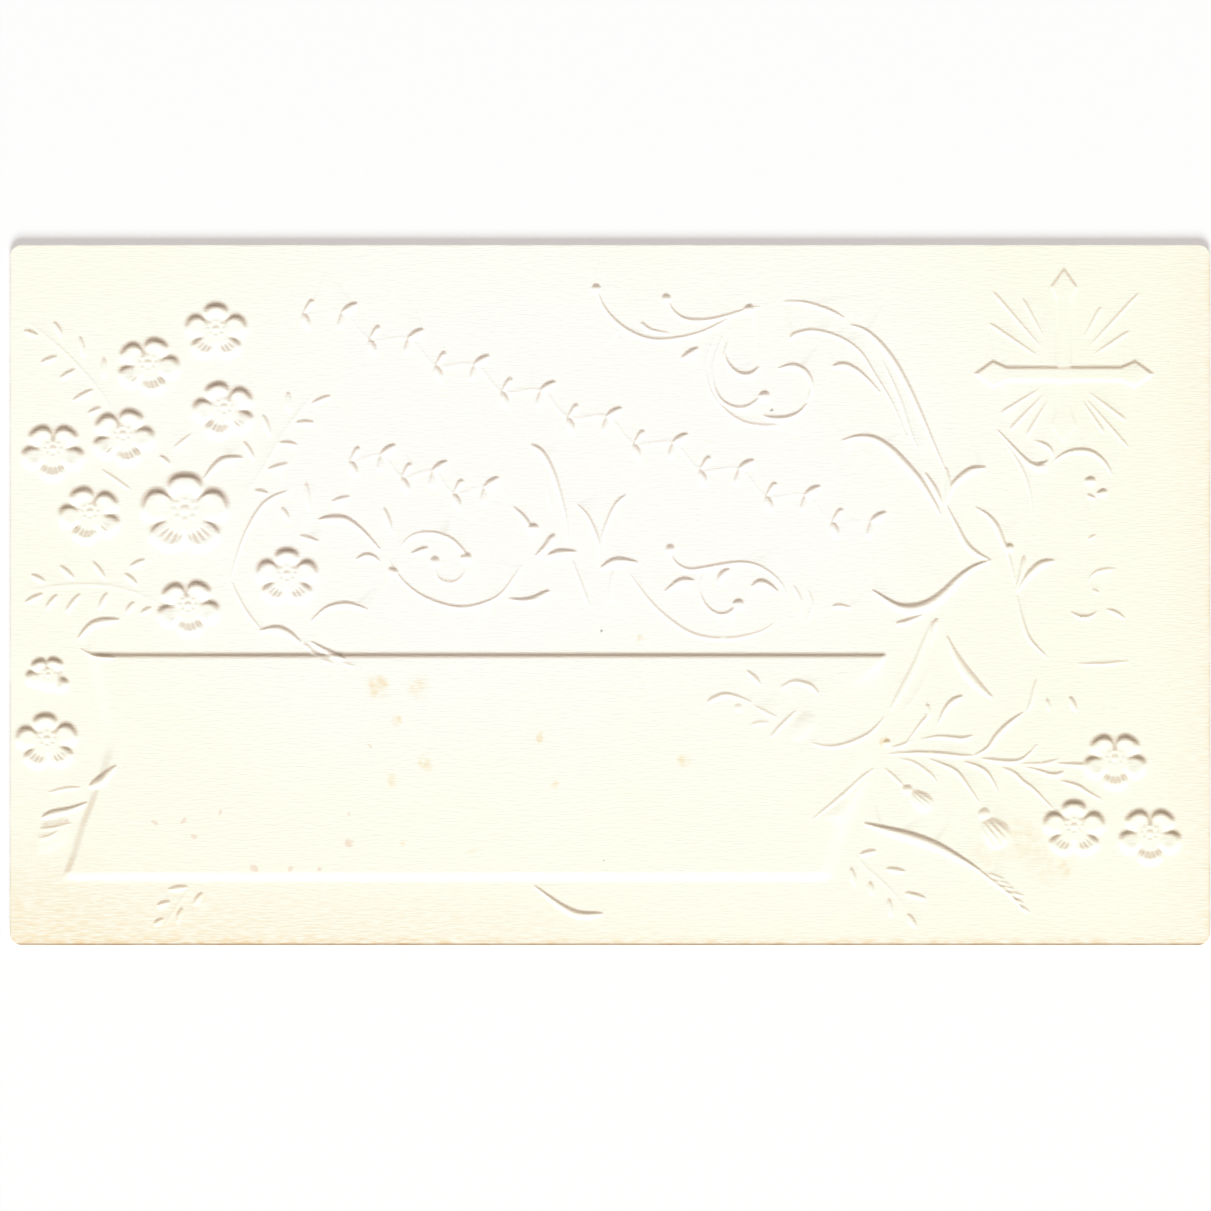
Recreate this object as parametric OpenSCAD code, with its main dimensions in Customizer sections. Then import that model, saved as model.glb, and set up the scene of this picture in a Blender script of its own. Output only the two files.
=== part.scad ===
// Calling card of stiff paper, pressed in relief: flower spray, scrollwork, cross and a raised name panel

/* [Card] */
// Length of the card, left to right
card_length = 90; // [84:0.5:110]
// Height of the card, bottom to top
card_height = 52.5; // [49:0.5:66]
// Thickness of the board
board = 0.45; // [0.3:0.05:0.9]
// Radius of the four corners
corner_radius = 0.9; // [0.3:0.1:3]

/* [Drawing] */
// Side of one square of the squared paper that the ornament is drawn on
grid = 0.75; // [0.65:0.01:0.8]
// Distance from the middle of the rightmost flower to the right end of the card
end_margin = 4.5; // [3:0.1:8]
// Distance from the lowest leaflet to the bottom edge of the card
foot_margin = 1.275; // [0.8:0.025:4]

/* [Relief] */
// Height of one terrace of the relief: a line is one or two high, the panel two and a petal three
terrace = 0.09; // [0.06:0.01:0.16]
// Width of the step around the panel
panel_step = 0.3; // [0.15:0.05:0.8]
// Width of the step around the cross
cross_step = 0.2; // [0.1:0.05:0.3]
// Depth of the hollows pressed into the back
hollow = 0.12; // [0.05:0.01:0.2]

/* [Lines and leaves] */
// Width of the finest line
hair = 0.34; // [0.25:0.01:0.45]
// Width of a plain line
line = 0.44; // [0.3:0.01:0.6]
// Width of a bold line
bold = 0.6; // [0.4:0.01:0.8]
// Width of a leaf drawn in one stroke
broad = 0.78; // [0.5:0.01:1]
// Width of the widest strokes
band = 1.02; // [0.7:0.01:1.3]
// Width of a leaflet on a sprig
leaflet = 0.6; // [0.3:0.01:0.9]

/* [Flowers] */
// Distance across a flower
flower_across = 4.6; // [3:0.1:5.5]
// Distance across the large flower
large_flower_across = 6.5; // [5:0.1:8]
// Distance across the half-open flower
half_flower_across = 3.2; // [2:0.1:4.5]

/* [Cross] */
// Length of an arm from the middle of the cross
arm_length = 6.9; // [5:0.1:8]
// Height of the head from the middle of the cross
head_length = 8.1; // [6:0.1:9]
// Length of the foot from the middle of the cross
foot_length = 5.4; // [3:0.1:7]
// Width of a bar
bar_width = 1.25; // [0.9:0.05:1.8]
// Width of the flare at the end of a bar
flare_width = 2.2; // [1.9:0.05:3]

/* [Hidden] */

// The drawing counts its squares from the left edge of the card, and down from its top edge
middle_column = 60;

// How far a terrace reaches into the board
bite = board / 3;
terraces = [1, 2, 3];
panel_terraces = 2;
// What each side of a stroke loses from one terrace to the next, and the narrowest top left standing
stroke_step = 0.12;
least_top = 0.4;
// Share of its width that a stroke keeps at its tips
tip_share = 0.2;
// How far the pressed paper spreads around the die
spread = 0.01;
// Steps to a span of a drawn curve, along a leaflet and around a petal, bud or bead
curve_steps = 2;
leaf_steps = 2;
petal_points = 8;
// Where along it a stem, a leaf, a bud and a ray are widest
stem_swell = 0.4;
leaf_swell = 0.5;
bud_swell = 0.75;
ray_swell = 0.8;
// Shares of a flower's reach: a petal's length, width and middle, the eye, and the hollow behind it
petal_length = 0.8;
petal_width = 0.92;
petal_middle = 0.6;
eye = 0.3;
dish_share = 0.7;
// What a petal loses from one terrace to the next, and how far it shifts out there
petal_step = 0.26;
petal_shift = 0.06;
// How much wider an egg shape grows towards its round end
egg_swell = 0.2;
// Distances of the neck and of the flare from the end of a bar, in flare widths
neck_back = 1.2;
flare_back = 0.7;
corner_facets = 48;

// Spray of flowers on the left: middle of each flower and the turn of its first petal
left_flowers = [
    [[20.6, 8.7], 90], [[13.8, 12.1], 68], [[21.4, 16.5], 37], [[11.3, 19.2], 68],
    [[4.3, 20.7], 53], [[8, 27], 40], [[27.7, 33.2], 90], [[17.8, 36.3], 60]
];
large_flower = [[17.5, 26.9], 90];
corner_flower = [[3.7, 49.7], 95];
right_flowers = [[[110.5, 51.6], 55], [[106.4, 58.4], 90], [[114, 59.1], 54]];
full_bloom = [0, 72, 144, 216, 288];
half_flower = [[3.8, 43.2], 0];
half_bloom = [65, 125, 185, 325];

// Sprigs: a stem, then the two ends of each leaflet
top_stem = [[1.8, 7.7], [5.2, 10.5], [8.5, 14], [11, 17.6]];
top_leaflets = [
    [[1.4, 8.6], [2.8, 9.1]], [[3.1, 11.8], [4.7, 11.2]], [[5, 13.4], [6.5, 12.5]],
    [[6.3, 15.6], [8.3, 14.5]], [[7.8, 16.9], [9.1, 16.3]], [[4.4, 7.7], [5.2, 9.2]],
    [[7, 9.2], [7.4, 11.3]], [[9.4, 11.3], [9.4, 13.3]]
];
low_stem = [[2, 34.6], [6, 34], [11, 34.3], [15.5, 36.1]];
low_leaflets = [
    [[2.1, 33], [3.5, 33.7]], [[5, 32.1], [6.4, 33.4]], [[8.3, 31.7], [9.5, 33.4]],
    [[13.5, 31.5], [12, 32.2]], [[11.5, 32.9], [12.7, 34]], [[1.5, 35.8], [3.3, 34.9]],
    [[3.6, 36.4], [4.7, 35]], [[5.6, 36.7], [7, 34.9]], [[8.9, 36.5], [9.7, 34.8]],
    [[11.6, 36.9], [12.4, 35.7]], [[13.1, 36.9], [14.1, 36.3]]
];
side_stem = [[30.6, 14.6], [27.5, 18.6], [25.4, 22.2], [23.2, 25.4]];
side_leaflets = [
    [[32.1, 15.1], [30.2, 15.9]], [[30.4, 17.8], [28.6, 17.8]], [[28.7, 20], [26.9, 19.8]],
    [[27.8, 21.9], [25.8, 22.5]], [[25.8, 24.9], [24.5, 24.6]], [[27.8, 14.7], [27.9, 16.8]],
    [[25.3, 17], [26, 19.1]], [[23.4, 19.7], [24.4, 21.5]], [[15, 21.1], [16, 22]],
    [[29.6, 23.8], [29.9, 26.6]], [[34, 25.2], [32.2, 25.7]], [[27.2, 26.3], [27.9, 27.6]],
    [[29, 29.1], [30.8, 29.7]]
];
foot_stem = [[18, 64.3], [16.8, 66], [15.5, 68]];
foot_leaflets = [
    [[15.8, 64.5], [17.8, 64.2]], [[14.7, 66.1], [16, 65.7]], [[18.4, 66], [19.2, 64.8]],
    [[16.7, 67.8], [17.2, 66.3]], [[14.4, 68], [15.3, 67.4]]
];
tail_stem = [[84.7, 61.1], [85.5, 62.2], [87, 63.5], [88.5, 65], [89.7, 66.7]];
tail_leaflets = [
    [[85, 61], [86.6, 60.6]], [[87.6, 62.4], [89.5, 62.7]], [[89.5, 64.8], [91.6, 65.4]],
    [[84.1, 62.3], [84.5, 64.1]], [[86, 63.7], [86.2, 65.1]], [[87.9, 65.4], [88.1, 67.2]],
    [[89.8, 66.9], [90.6, 68.3]]
];

// Strokes: width, where along it the stroke is widest, and the points that it runs through
left_strokes = [
    [hair, 0.5, [[9, 22.4], [12.2, 24.6]]],
    [line, 0.3, [[27.8, 24.6], [25.4, 25.9], [23.4, 29.2], [22, 33.5]]],
    [hair, 0.5, [[22, 33.5], [23.5, 36.5], [25.2, 38.6]]],
    [hair, 0.5, [[16.3, 20.4], [18.2, 18.9]]],
    [broad, 0.5, [[19.4, 23.4], [21.2, 21.6], [23.3, 21.3]]],
    [broad, 0.6, [[6.8, 39.4], [8.4, 37.9], [10.9, 37.5]]],
    [broad, 0.5, [[24.9, 38.6], [26.6, 38.4], [27.9, 38.9], [29.1, 39.8]]],
    [bold, 0.6, [[30.1, 37.7], [31.4, 36.5], [32.8, 36], [34.2, 36], [35.8, 36.5]]]
];
corner_strokes = [
    [hair, 0.5, [[3.8, 54.8], [5.6, 54.4], [7.1, 54.3]]],
    [bold, 0.35, [[3.2, 57.3], [4.3, 56.9], [6, 56.5], [7.7, 55.8]]],
    [broad, 0.45, [[8, 54.2], [9.2, 53.5], [10.6, 52.1]]],
    [line, 0.8, [[7, 40.4], [7.9, 40.9], [9, 41.2], [10.6, 41.3]]]
];
middle_strokes = [
    [broad, 0.25, [[30.9, 27.5], [32.2, 27.4], [33.6, 27.5], [35.2, 28.6], [37, 30.5]]],
    [bold, 0.4, [[34.6, 31.5], [35.5, 31.1], [36.3, 31.2], [37, 31.7]]],
    [bold, 0.5, [[37.4, 26.3], [37.8, 27.6], [38.2, 28.8]]],
    [line, 0.5, [
        [37.9, 31.5], [39, 33.3], [40.8, 34.9], [43, 35.9], [45.2, 36.3], [47.5, 35.8], [49.3, 34.7],
        [51.2, 32]
    ]],
    [line, 0.8, [
        [39, 30.3], [40, 29.2], [41.3, 28.8], [42.8, 28.9], [44.2, 29.5], [45.2, 30.5], [45.8, 31.3]
    ]],
    [bold, 0.6, [[40.1, 30.9], [41, 30.6], [41.8, 30.3]]],
    [hair, 0.5, [[42.5, 31.8], [42.8, 33.3], [44, 33.8], [45, 33.4], [45.6, 32.5]]],
    [bold, 0.15, [[52.1, 20], [53.2, 20.8], [54.2, 22.6], [55, 25], [55.6, 27.5], [55.8, 30]]],
    [hair, 0.5, [[53.7, 21.7], [53.8, 24.5], [54.1, 26.5]]],
    [line, 0.6, [[56.6, 25.9], [57.6, 26.9], [58.4, 28.5], [58.9, 30.2], [59, 32.5]]],
    [line, 0.2, [[61.6, 25], [60.6, 26], [59.8, 27.6], [59.2, 29.4], [59, 31.5]]],
    [bold, 0.5, [[50.3, 26.2], [51.2, 27.1], [51.9, 28.2], [52.2, 29.8]]],
    [broad, 0.3, [[54.4, 29], [53.7, 30.1], [52.6, 31.1]]],
    [broad, 0.45, [[53.8, 31.1], [55, 30.8], [56.6, 30.7]]],
    [broad, 0.4, [[59, 32.4], [60.3, 31.7], [61.4, 31.6], [62.8, 31.8]]],
    [hair, 0.6, [[56.2, 31.5], [57, 33.7], [58, 36.3]]],
    [hair, 0.5, [[60.3, 32.5], [59.8, 36]]],
    [broad, 0.75, [[49.9, 35.4], [51.3, 35.6], [52.6, 35.4], [53.9, 34.6]]],
    [hair, 0.3, [[61.8, 32.7], [64.5, 36.2], [68, 38.8], [71.5, 39.4], [75, 38.7], [77, 37.4]]],
    [line, 0.45, [
        [66.1, 30.2], [66.2, 31.2], [66.8, 32], [68, 32.5], [69.6, 32.3], [71.3, 32], [73, 31.8], [74.5, 32],
        [76, 32.8], [77.2, 34], [77.6, 35.3]
    ]],
    [broad, 0.6, [[65.5, 34.7], [66.6, 33.9], [67.4, 33.6], [68.4, 33.6]]],
    [line, 0.7, [
        [69.2, 33], [69, 34.8], [69.7, 36.2], [70.7, 36.9], [71.7, 36.9], [72.5, 36.3], [72.8, 35.6]
    ]],
    [broad, 0.4, [[71.9, 32.4], [71.2, 33.1], [70.8, 33.9]]],
    [broad, 0.35, [[74.2, 34.2], [75, 33.8], [75.8, 34], [76.8, 34.7]]],
    [hair, 0.5, [[78.3, 34], [79, 35.5], [78.9, 37.3]]],
    [hair, 0.5, [[79.8, 34.5], [80.2, 36], [79.8, 37.5]]],
    [line, 0.4, [[82.2, 36.2], [83, 36.1], [84.1, 36.3]]]
];
scroll_strokes = [
    [line, 0.3, [
        [58.6, 4.3], [59.3, 6.1], [60.6, 7.7], [62.4, 8.9], [64.5, 9.5], [67, 9.3], [69.5, 8.6], [72, 7.3],
        [73.8, 6.4]
    ]],
    [line, 0.35, [
        [65.7, 5.4], [66.3, 6.6], [67.4, 7.4], [68.8, 7.6], [70.5, 7.4], [72.3, 6.9], [73.8, 6.4], [75, 6.2]
    ]],
    [line, 0.2, [[63.1, 7.8], [64, 8.5], [66, 8.9]]],
    [broad, 0.5, [[67.2, 11.4], [68, 10.9], [68.8, 10.3]]],
    [hair, 0.7, [
        [70.5, 9], [69.5, 12], [70.1, 14.7], [71.7, 16.7], [73.5, 17.8], [75.5, 18.1], [77.2, 17.9]
    ]],
    [bold, 0.35, [[76.8, 12.4], [78, 12.1], [79, 12.3], [79.8, 13], [80.2, 14.2], [79.8, 15.5]]],
    [bold, 0.4, [[75.3, 17.1], [76.5, 17.4], [77.8, 17.3], [78.9, 16.8], [79.7, 15.9]]],
    [line, 0.7, [
        [71.2, 9.2], [70.4, 11.5], [70.3, 13.8], [71, 15.4], [72.2, 16.2], [73.4, 16.3], [74.4, 15.8],
        [75.1, 15.1]
    ]],
    [bold, 0.75, [[71.7, 9.8], [71.5, 11.2], [72.2, 12.4], [73.2, 13], [74.2, 12.9], [74.9, 12.2]]],
    [line, 0.6, [[77.2, 5.7], [79.5, 5.8], [82, 6.6], [83.5, 7.4]]],
    [bold, 0.35, [
        [84, 8], [85.6, 8.6], [87.2, 10.1], [88.6, 12], [89.9, 14.4], [91.2, 17.2], [92.4, 20],
        [93.5, 22.5]
    ]],
    [line, 0.1, [
        [78, 9.5], [78.6, 8.9], [80.5, 8.6], [83, 9.3], [85, 10.7], [86.5, 13], [88.3, 16], [89.5, 19]
    ]],
    [bold, 0.15, [[82.3, 12.2], [83.4, 12], [84.6, 12.5], [85.8, 13.5], [87, 14.8]]],
    [hair, 0.4, [[87.2, 11.5], [88.8, 15], [90, 18.5], [90.8, 20.5]]]
];
leaf_strokes = [
    [broad, 0.5, [
        [83.2, 19.6], [84.8, 19.2], [86.4, 19.4], [88, 20.4], [89.6, 22], [91, 23.6], [92.4, 25.8],
        [93, 27]
    ]],
    [bold, 0.5, [[91.5, 22.8], [92.5, 24.5], [93.2, 26]]],
    [bold, 0.5, [[93.6, 22.3], [93.8, 24], [93.5, 26]]],
    [broad, 0.35, [[97.6, 22.3], [96.3, 22.5], [95.2, 23.2], [94.2, 24.2], [93.6, 26]]],
    [bold, 0.6, [[93.6, 26], [94.6, 28], [95.6, 29.9], [96.7, 30.9], [98, 31.5]]],
    [band, 0.65, [
        [98, 31.6], [96.5, 32.2], [95, 33.3], [93.5, 34.8], [92, 35.9], [90.3, 36.4], [88.6, 36.1],
        [86.3, 34.6]
    ]],
    [bold, 0.4, [[88.6, 37.9], [89.7, 37.7], [91.3, 37]]],
    [bold, 0.45, [[96.6, 26.3], [97.7, 27], [98.6, 28.1], [99.2, 29.5], [99.8, 31], [100.5, 33.8]]],
    [bold, 0.4, [[101.4, 31.1], [101.2, 32.7], [100.6, 34.5]]],
    [broad, 0.3, [[104.4, 31.6], [103.2, 31.9], [102.2, 32.7], [101.4, 33.6], [100.7, 34.7]]],
    [line, 0.5, [[100.7, 35], [101.2, 37.5], [102, 39.5], [103.8, 41.3]]],
    [bold, 0.7, [[92.2, 37.7], [91.5, 39.5], [90.5, 42], [89.3, 44.3], [88, 46.5]]],
    [bold, 0.3, [[92.7, 37.4], [92.3, 38.5], [92.1, 40]]],
    [broad, 0.6, [[93.7, 39.2], [94.5, 41], [95.5, 42.6], [96.8, 44.1], [98.2, 45.3]]],
    [line, 0.4, [[91.8, 42.5], [91, 44.5], [89, 47]]],
    [hair, 0.5, [[99.1, 19.3], [100.5, 21.2], [101.5, 23.2], [102, 25], [102.3, 27]]],
    [line, 0.5, [[102.4, 19.6], [103.3, 19.9], [104, 20.4], [104.4, 21.3]]],
    [bold, 0.8, [[98.8, 18.6], [99.9, 19.8], [101, 21], [102, 21.9], [103, 22.1], [103.8, 21.6]]],
    [bold, 0.5, [[104.4, 21.6], [105.5, 20.9], [106.8, 20.6], [108.2, 20.8], [109.4, 21.7], [110.2, 23]]],
    [line, 0.5, [[107.7, 25], [108.5, 25.4]]],
    [hair, 0.5, [[107.8, 29.5], [108.6, 29]]],
    [hair, 0.6, [[107.8, 33.6], [108.5, 32.8], [109.5, 32.5], [110.6, 32.4]]],
    [hair, 0.5, [[108.2, 34.5], [108.9, 34.8]]],
    [line, 0.5, [[106, 36.7], [107, 37.2], [107.9, 37.2], [108.7, 36.7]]],
    [line, 0.5, [[109.7, 36.5], [110.6, 36.8], [111.5, 37.4]]],
    [hair, 0.5, [[106.7, 41.9], [109.5, 41.9], [112, 41.6]]]
];
spray_strokes = [
    [line, 0.5, [[87.9, 50.9], [90.5, 50.8], [93, 50.9], [95, 51.1], [96.4, 51.1]]],
    [bold, 0.4, [[101.3, 46.8], [100, 47.8], [98.7, 49.1], [97.8, 50.3], [96.4, 51.1]]],
    [line, 0.25, [[97.2, 51.4], [98.7, 51.6], [100, 51.7], [101.1, 51.5], [102, 50.8], [102.8, 49.9]]],
    [hair, 0.5, [[101, 51.9], [103.3, 51.9], [105, 51.4]]],
    [line, 0.7, [[104.6, 51.9], [106.5, 52], [108, 52.1]]],
    [line, 0.8, [[101, 52.1], [102.6, 52.5], [103.8, 52.9], [104.6, 53], [105.4, 52.7]]],
    [line, 0.4, [[105, 53.6], [106.7, 54.1], [107.7, 54.7], [109.2, 55.5]]],
    [line, 0.35, [[99.2, 52.3], [100.4, 52.8], [101.2, 53.6], [102.3, 54.4], [103.4, 55.5], [104.4, 56.5]]],
    [line, 0.4, [[95.3, 51.7], [96.6, 52.1], [97.6, 52.7], [98.3, 53.7], [98.9, 54.9]]],
    [line, 0.5, [[91.8, 51.4], [93.1, 51.9], [94.4, 52.5], [95.1, 53.2], [95.9, 54.3], [97, 55.9]]],
    [hair, 0.5, [[88.8, 51.4], [90.2, 51.7], [91.2, 52.3], [92.2, 53.1], [92.8, 53.9]]],
    [line, 0.75, [[91, 49.5], [92.7, 49.2], [94.2, 49.3], [95.2, 49.4], [96.3, 49.1]]],
    [hair, 0.5, [[88.2, 50.3], [89.3, 50], [90.3, 49.5]]],
    [line, 0.15, [[91.7, 45.9], [91.8, 47], [91, 48], [89.5, 50]]],
    [bold, 0.3, [[95.3, 45.1], [94.2, 45.7], [93.4, 46.7], [92.8, 48]]],
    [line, 0.4, [[102.6, 43.5], [102.2, 45.5], [101.7, 46.7]]],
    [line, 0.5, [[103.7, 45.4], [103.9, 46.6]]],
    [bold, 0.5, [[106, 45.2], [106.6, 46.7]]],
    [hair, 0.5, [[87.4, 52.3], [88.5, 53.3], [89.4, 54.2]]],
    [band, 0.45, [[85.5, 57.9], [87.5, 58.5], [90, 59.2], [92.5, 60.1], [95, 61.4], [97, 62.6]]],
    [bold, 0.4, [[96.5, 62.3], [98.2, 63.6], [100.2, 65.2], [101.6, 66.9]]],
    [line, 0.4, [[52.4, 64.1], [55.2, 66.2], [57, 67], [59.3, 66.9]]]
];
panel_strokes = [
    [bold, 0.2, [[69.7, 45.8], [70.6, 45.3], [71.6, 45], [73, 45.3], [74.2, 45.8]]],
    [bold, 0.5, [[73.7, 42.6], [74.5, 43.4], [75, 44]]],
    [hair, 0.5, [[74.2, 46], [75.5, 46.7], [76.8, 47.3]]],
    [hair, 0.5, [[74.1, 48], [75, 47.8], [75.9, 47.8]]],
    [bold, 0.6, [[77, 44.3], [78.3, 43.7], [79.5, 43.9], [80.3, 44.3], [80.9, 45]]],
    [line, 0.5, [[76, 49.3], [77.2, 48], [78.7, 46.5]]],
    [line, 0.5, [[80, 49.8], [82, 50.2], [84, 49.8], [86, 48.8], [87.5, 47.2]]]
];
panel_leaf = [band, 0.4, [[30.1, 40.1], [32.2, 40.9], [34.6, 42]]];
folded_corner = [
    [80.2, 57.5], [83.2, 55.1], [85.3, 52.8], [86.2, 51.3], [86.3, 53.5], [84.6, 57], [83, 60.5], [82.4, 58]
];

// Buds, knots and beads: middle, length, width and turn
scroll_knots = [
    [[73.9, 6.4], 0.8, 0.7, 0], [[75.4, 15.1], 0.9, 0.8, 0], [[58.6, 4.4], 0.8, 0.7, 70],
    [[65.6, 5.4], 0.8, 0.7, 70]
];
middle_knots = [
    [[38.3, 32.7], 0.9, 0.7, -50], [[45.6, 31.3], 0.9, 0.8, 0], [[75.3, 34.3], 1.6, 1, -20]
];
leaf_knots = [
    [[103, 22.2], 1.2, 0.7, 15], [[108, 23.6], 0.9, 0.7, 0], [[109.2, 24.8], 0.9, 0.6, 15],
    [[99.9, 30.3], 0.8, 0.7, 0]
];
spray_buds = [
    [[89.7, 54.5], 0.9, 0.8, -20], [[91.1, 55.6], 2.1, 1.5, -40],
    [[97.4, 56.9], 1, 0.9, 20], [[98.5, 58.8], 2.6, 2.2, -50], [[87.7, 49.8], 0.6, 0.6, 0]
];
corner_leaf = [[4.3, 59], 3.4, 2.2, 57];
panel_bead = [[72.8, 46.3], 0.7, 0.7, 0];
panel_leaf_body = [[79.3, 48.2], 2.6, 1.5, 55];

// Outline of the name panel: the left and the right end of each level, from the top down
panel_levels = [
    [40.75, 7.4, 87.7], [43, 8, 87.7], [47, 8.8, 87.7], [50.5, 9.6, 87.2], [53, 9.4, 86.2],
    [55.5, 8.6, 85], [58, 7.6, 84], [61, 6.7, 83.2], [63.75, 5.6, 82.5]
];

// Garlands on the slope: the two ends and the number of waves
upper_garland = [[28, 5.5], [87.5, 29], 9];
lower_garland = [[33, 20.5], [48.5, 25.4], 3];
garland_sway = 0.75;
garland_leaf = 1.7;
wave_points = 6;
// How far a leaf and a bud of a garland reach along its stem and across it
leaf_reach = [0.6, 0.8] * garland_leaf;
bud_reach = [0.2, -0.9] * garland_leaf;

// Rays of the cross: angle, then the distances from the middle at which a ray starts and ends
cross_middle = [105.4, 12.9];
rays = [
    [33, 3.5, 7.8], [47, 3.6, 11], [61, 4.2, 7.7], [119, 4.2, 8.6], [131, 3.4, 10.9], [146, 3, 9.1],
    [212, 2.8, 7.5], [226, 3, 7.9], [239, 3.2, 7.3], [304, 3.2, 7.2], [311, 3.2, 9.9], [323, 3.1, 7.8]
];

// Where the drawing reaches to on the right and at the bottom
rightmost = max([for (f = right_flowers) f[0][0]]);
lowest = max([for (ends = tail_leaflets) for (p = ends) p[1]]);

function spot(p) = [p[0] * grid, -p[1] * grid];
function knot(p, i) = p[max(0, min(len(p) - 1, i))];
// Point of a smooth curve between b and c, with a before them and d after them
function bend(a, b, c, d, t) =
    b + (c - a) * t / 2
    + (a - 2.5 * b + 2 * c - d / 2) * t * t
    + (1.5 * (b - c) + (d - a) / 2) * t * t * t;
function curve(p) = concat(
    [for (i = [0 : len(p) - 2]) for (s = [0 : curve_steps - 1])
        bend(knot(p, i - 1), p[i], p[i + 1], knot(p, i + 2), s / curve_steps)],
    [p[len(p) - 1]]
);
function between(a, b, steps) = [for (i = [0 : steps]) a + (b - a) * i / steps];
function along(p, i) = let (d = knot(p, i + 1) - knot(p, i - 1)) d / norm(d);
// Share of the full width at a part of the way along a stroke that is widest at swell
function share(t, swell) =
    tip_share + (1 - tip_share) * (t < swell ? sin(90 * t / swell) : cos(90 * (t - swell) / (1 - swell)));
// Width that is left of a stroke on a terrace
function top_width(width, tier) = width - 2 * stroke_step * (tier - 1);

// Point at a distance from one point towards another
function towards(a, b, distance) = a + (b - a) * distance / norm(b - a);
// Path without a length at each of its ends
function cut_back(path, cut) = let (last = len(path) - 1) [
    for (i = [0 : last])
        i == 0 ? towards(path[0], path[1], cut) :
        i == last ? towards(path[last], path[last - 1], cut) : path[i]
];

// Ribbon along a path in millimetres, narrower and shorter on each higher terrace
module ribbon(whole, full_width, swell, tier) {
    path = cut_back(whole, stroke_step * (tier - 1));
    width = top_width(full_width, tier);
    last = len(path) - 1;
    half = [for (i = [0 : last]) share(i / last, swell) * width / 2];
    side = [for (i = [0 : last]) let (d = along(path, i)) [-d[1], d[0]] * half[i]];
    polygon(concat(
        [for (i = [0 : last]) path[i] + side[i]],
        [for (i = [last : -1 : 0]) path[i] - side[i]]
    ));
}

module strokes(list, tier)
    for (s = list)
        if (tier == 1 || top_width(s[0], tier) >= least_top)
            ribbon([for (p = curve(s[2])) spot(p)], s[0], s[1], tier);

module leaflets(list, tier)
    for (ends = list)
        if (tier == 1 || top_width(leaflet, tier) >= least_top)
            ribbon(between(spot(ends[0]), spot(ends[1]), leaf_steps), leaflet, leaf_swell, tier);

module sprig(stem, list, tier) {
    strokes([[hair, stem_swell, stem]], tier);
    leaflets(list, tier);
}

// Egg shape, wider towards +X
module egg(length, width)
    polygon([for (k = [0 : petal_points - 1]) let (a = 360 * k / petal_points)
        [length * cos(a), width * sin(a) * (1 + egg_swell * cos(a))] / 2]);

module bosses(list, tier)
    for (b = list)
        if (tier == 1 || top_width(b[2], tier) >= least_top)
            translate(spot(b[0])) rotate(b[3]) egg(top_width(b[1], tier), top_width(b[2], tier));

// Five petals that rise towards their rims, around an eye
module flower(place, across, bloom, tier) {
    reach = across / 2;
    size = reach * (1 - petal_step * (tier - 1));
    out = reach * (petal_middle + petal_shift * (tier - 1));
    translate(spot(place[0])) {
        for (a = bloom)
            rotate(place[1] + a) translate([out, 0]) egg(petal_length * size, petal_width * size);
        if (tier <= 2)
            circle(eye * size, $fn = petal_points);
    }
}

// Wavy stem with a leaf and a bud at each crest, from one point to another
module garland(g, tier) {
    run = g[1] - g[0];
    ahead = run / norm(run);
    across = [-ahead[1], ahead[0]];
    points = g[2] * wave_points;
    point = function (t) g[0] + run * t + across * garland_sway * sin(360 * g[2] * t);
    if (tier == 1)
        ribbon([for (i = [0 : points]) spot(point(i / points))], hair, leaf_swell, tier);
    for (w = [0 : 2 * g[2] - 1]) {
        up = w % 2 == 0 ? 1 : -1;
        root = point((w + 0.5) / (2 * g[2]));
        leaf_tip = root + ahead * leaf_reach[0] + across * up * leaf_reach[1];
        bud_tip = root + ahead * bud_reach[0] + across * up * bud_reach[1];
        ribbon(between(spot(root), spot(leaf_tip), leaf_steps), broad, leaf_swell, tier);
        ribbon(between(spot(root), spot(bud_tip), leaf_steps), bold, bud_swell, tier);
    }
}

// Bar of the cross along +X, from its middle out to a pointed and flared end
module cross_bar(length) {
    neck = length - neck_back * flare_width;
    flare = length - flare_back * flare_width;
    edge = [[0, bar_width / 2], [neck, bar_width / 2], [flare, flare_width / 2]];
    polygon(concat(
        edge,
        [[length, 0]],
        [for (i = [2 : -1 : 0]) [edge[i][0], -edge[i][1]]]
    ));
}

module cross(inset)
    translate(spot(cross_middle)) offset(delta = -inset) {
        cross_bar(arm_length);
        rotate(90) cross_bar(head_length);
        rotate(180) cross_bar(arm_length);
        rotate(270) cross_bar(foot_length);
    }

module cross_rays()
    translate(spot(cross_middle))
        for (r = rays)
            rotate(r[0]) ribbon(between([r[1], 0] * grid, [r[2], 0] * grid, leaf_steps), line, ray_swell, 1);

// The drawing's corners stay with the corners of the card
module from_corner(right, bottom)
    translate([
        right ? card_length / 2 - end_margin - rightmost * grid : -card_length / 2,
        bottom ? -card_height / 2 + foot_margin + lowest * grid : card_height / 2
    ]) children();

module from_middle()
    translate([-middle_column * grid, card_height / 2]) children();

module top_left(tier)
    from_corner(false, false) {
        for (f = left_flowers)
            flower(f, flower_across, full_bloom, tier);
        flower(large_flower, large_flower_across, full_bloom, tier);
        sprig(top_stem, top_leaflets, tier);
        sprig(low_stem, low_leaflets, tier);
        sprig(side_stem, side_leaflets, tier);
        strokes(left_strokes, tier);
    }

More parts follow.
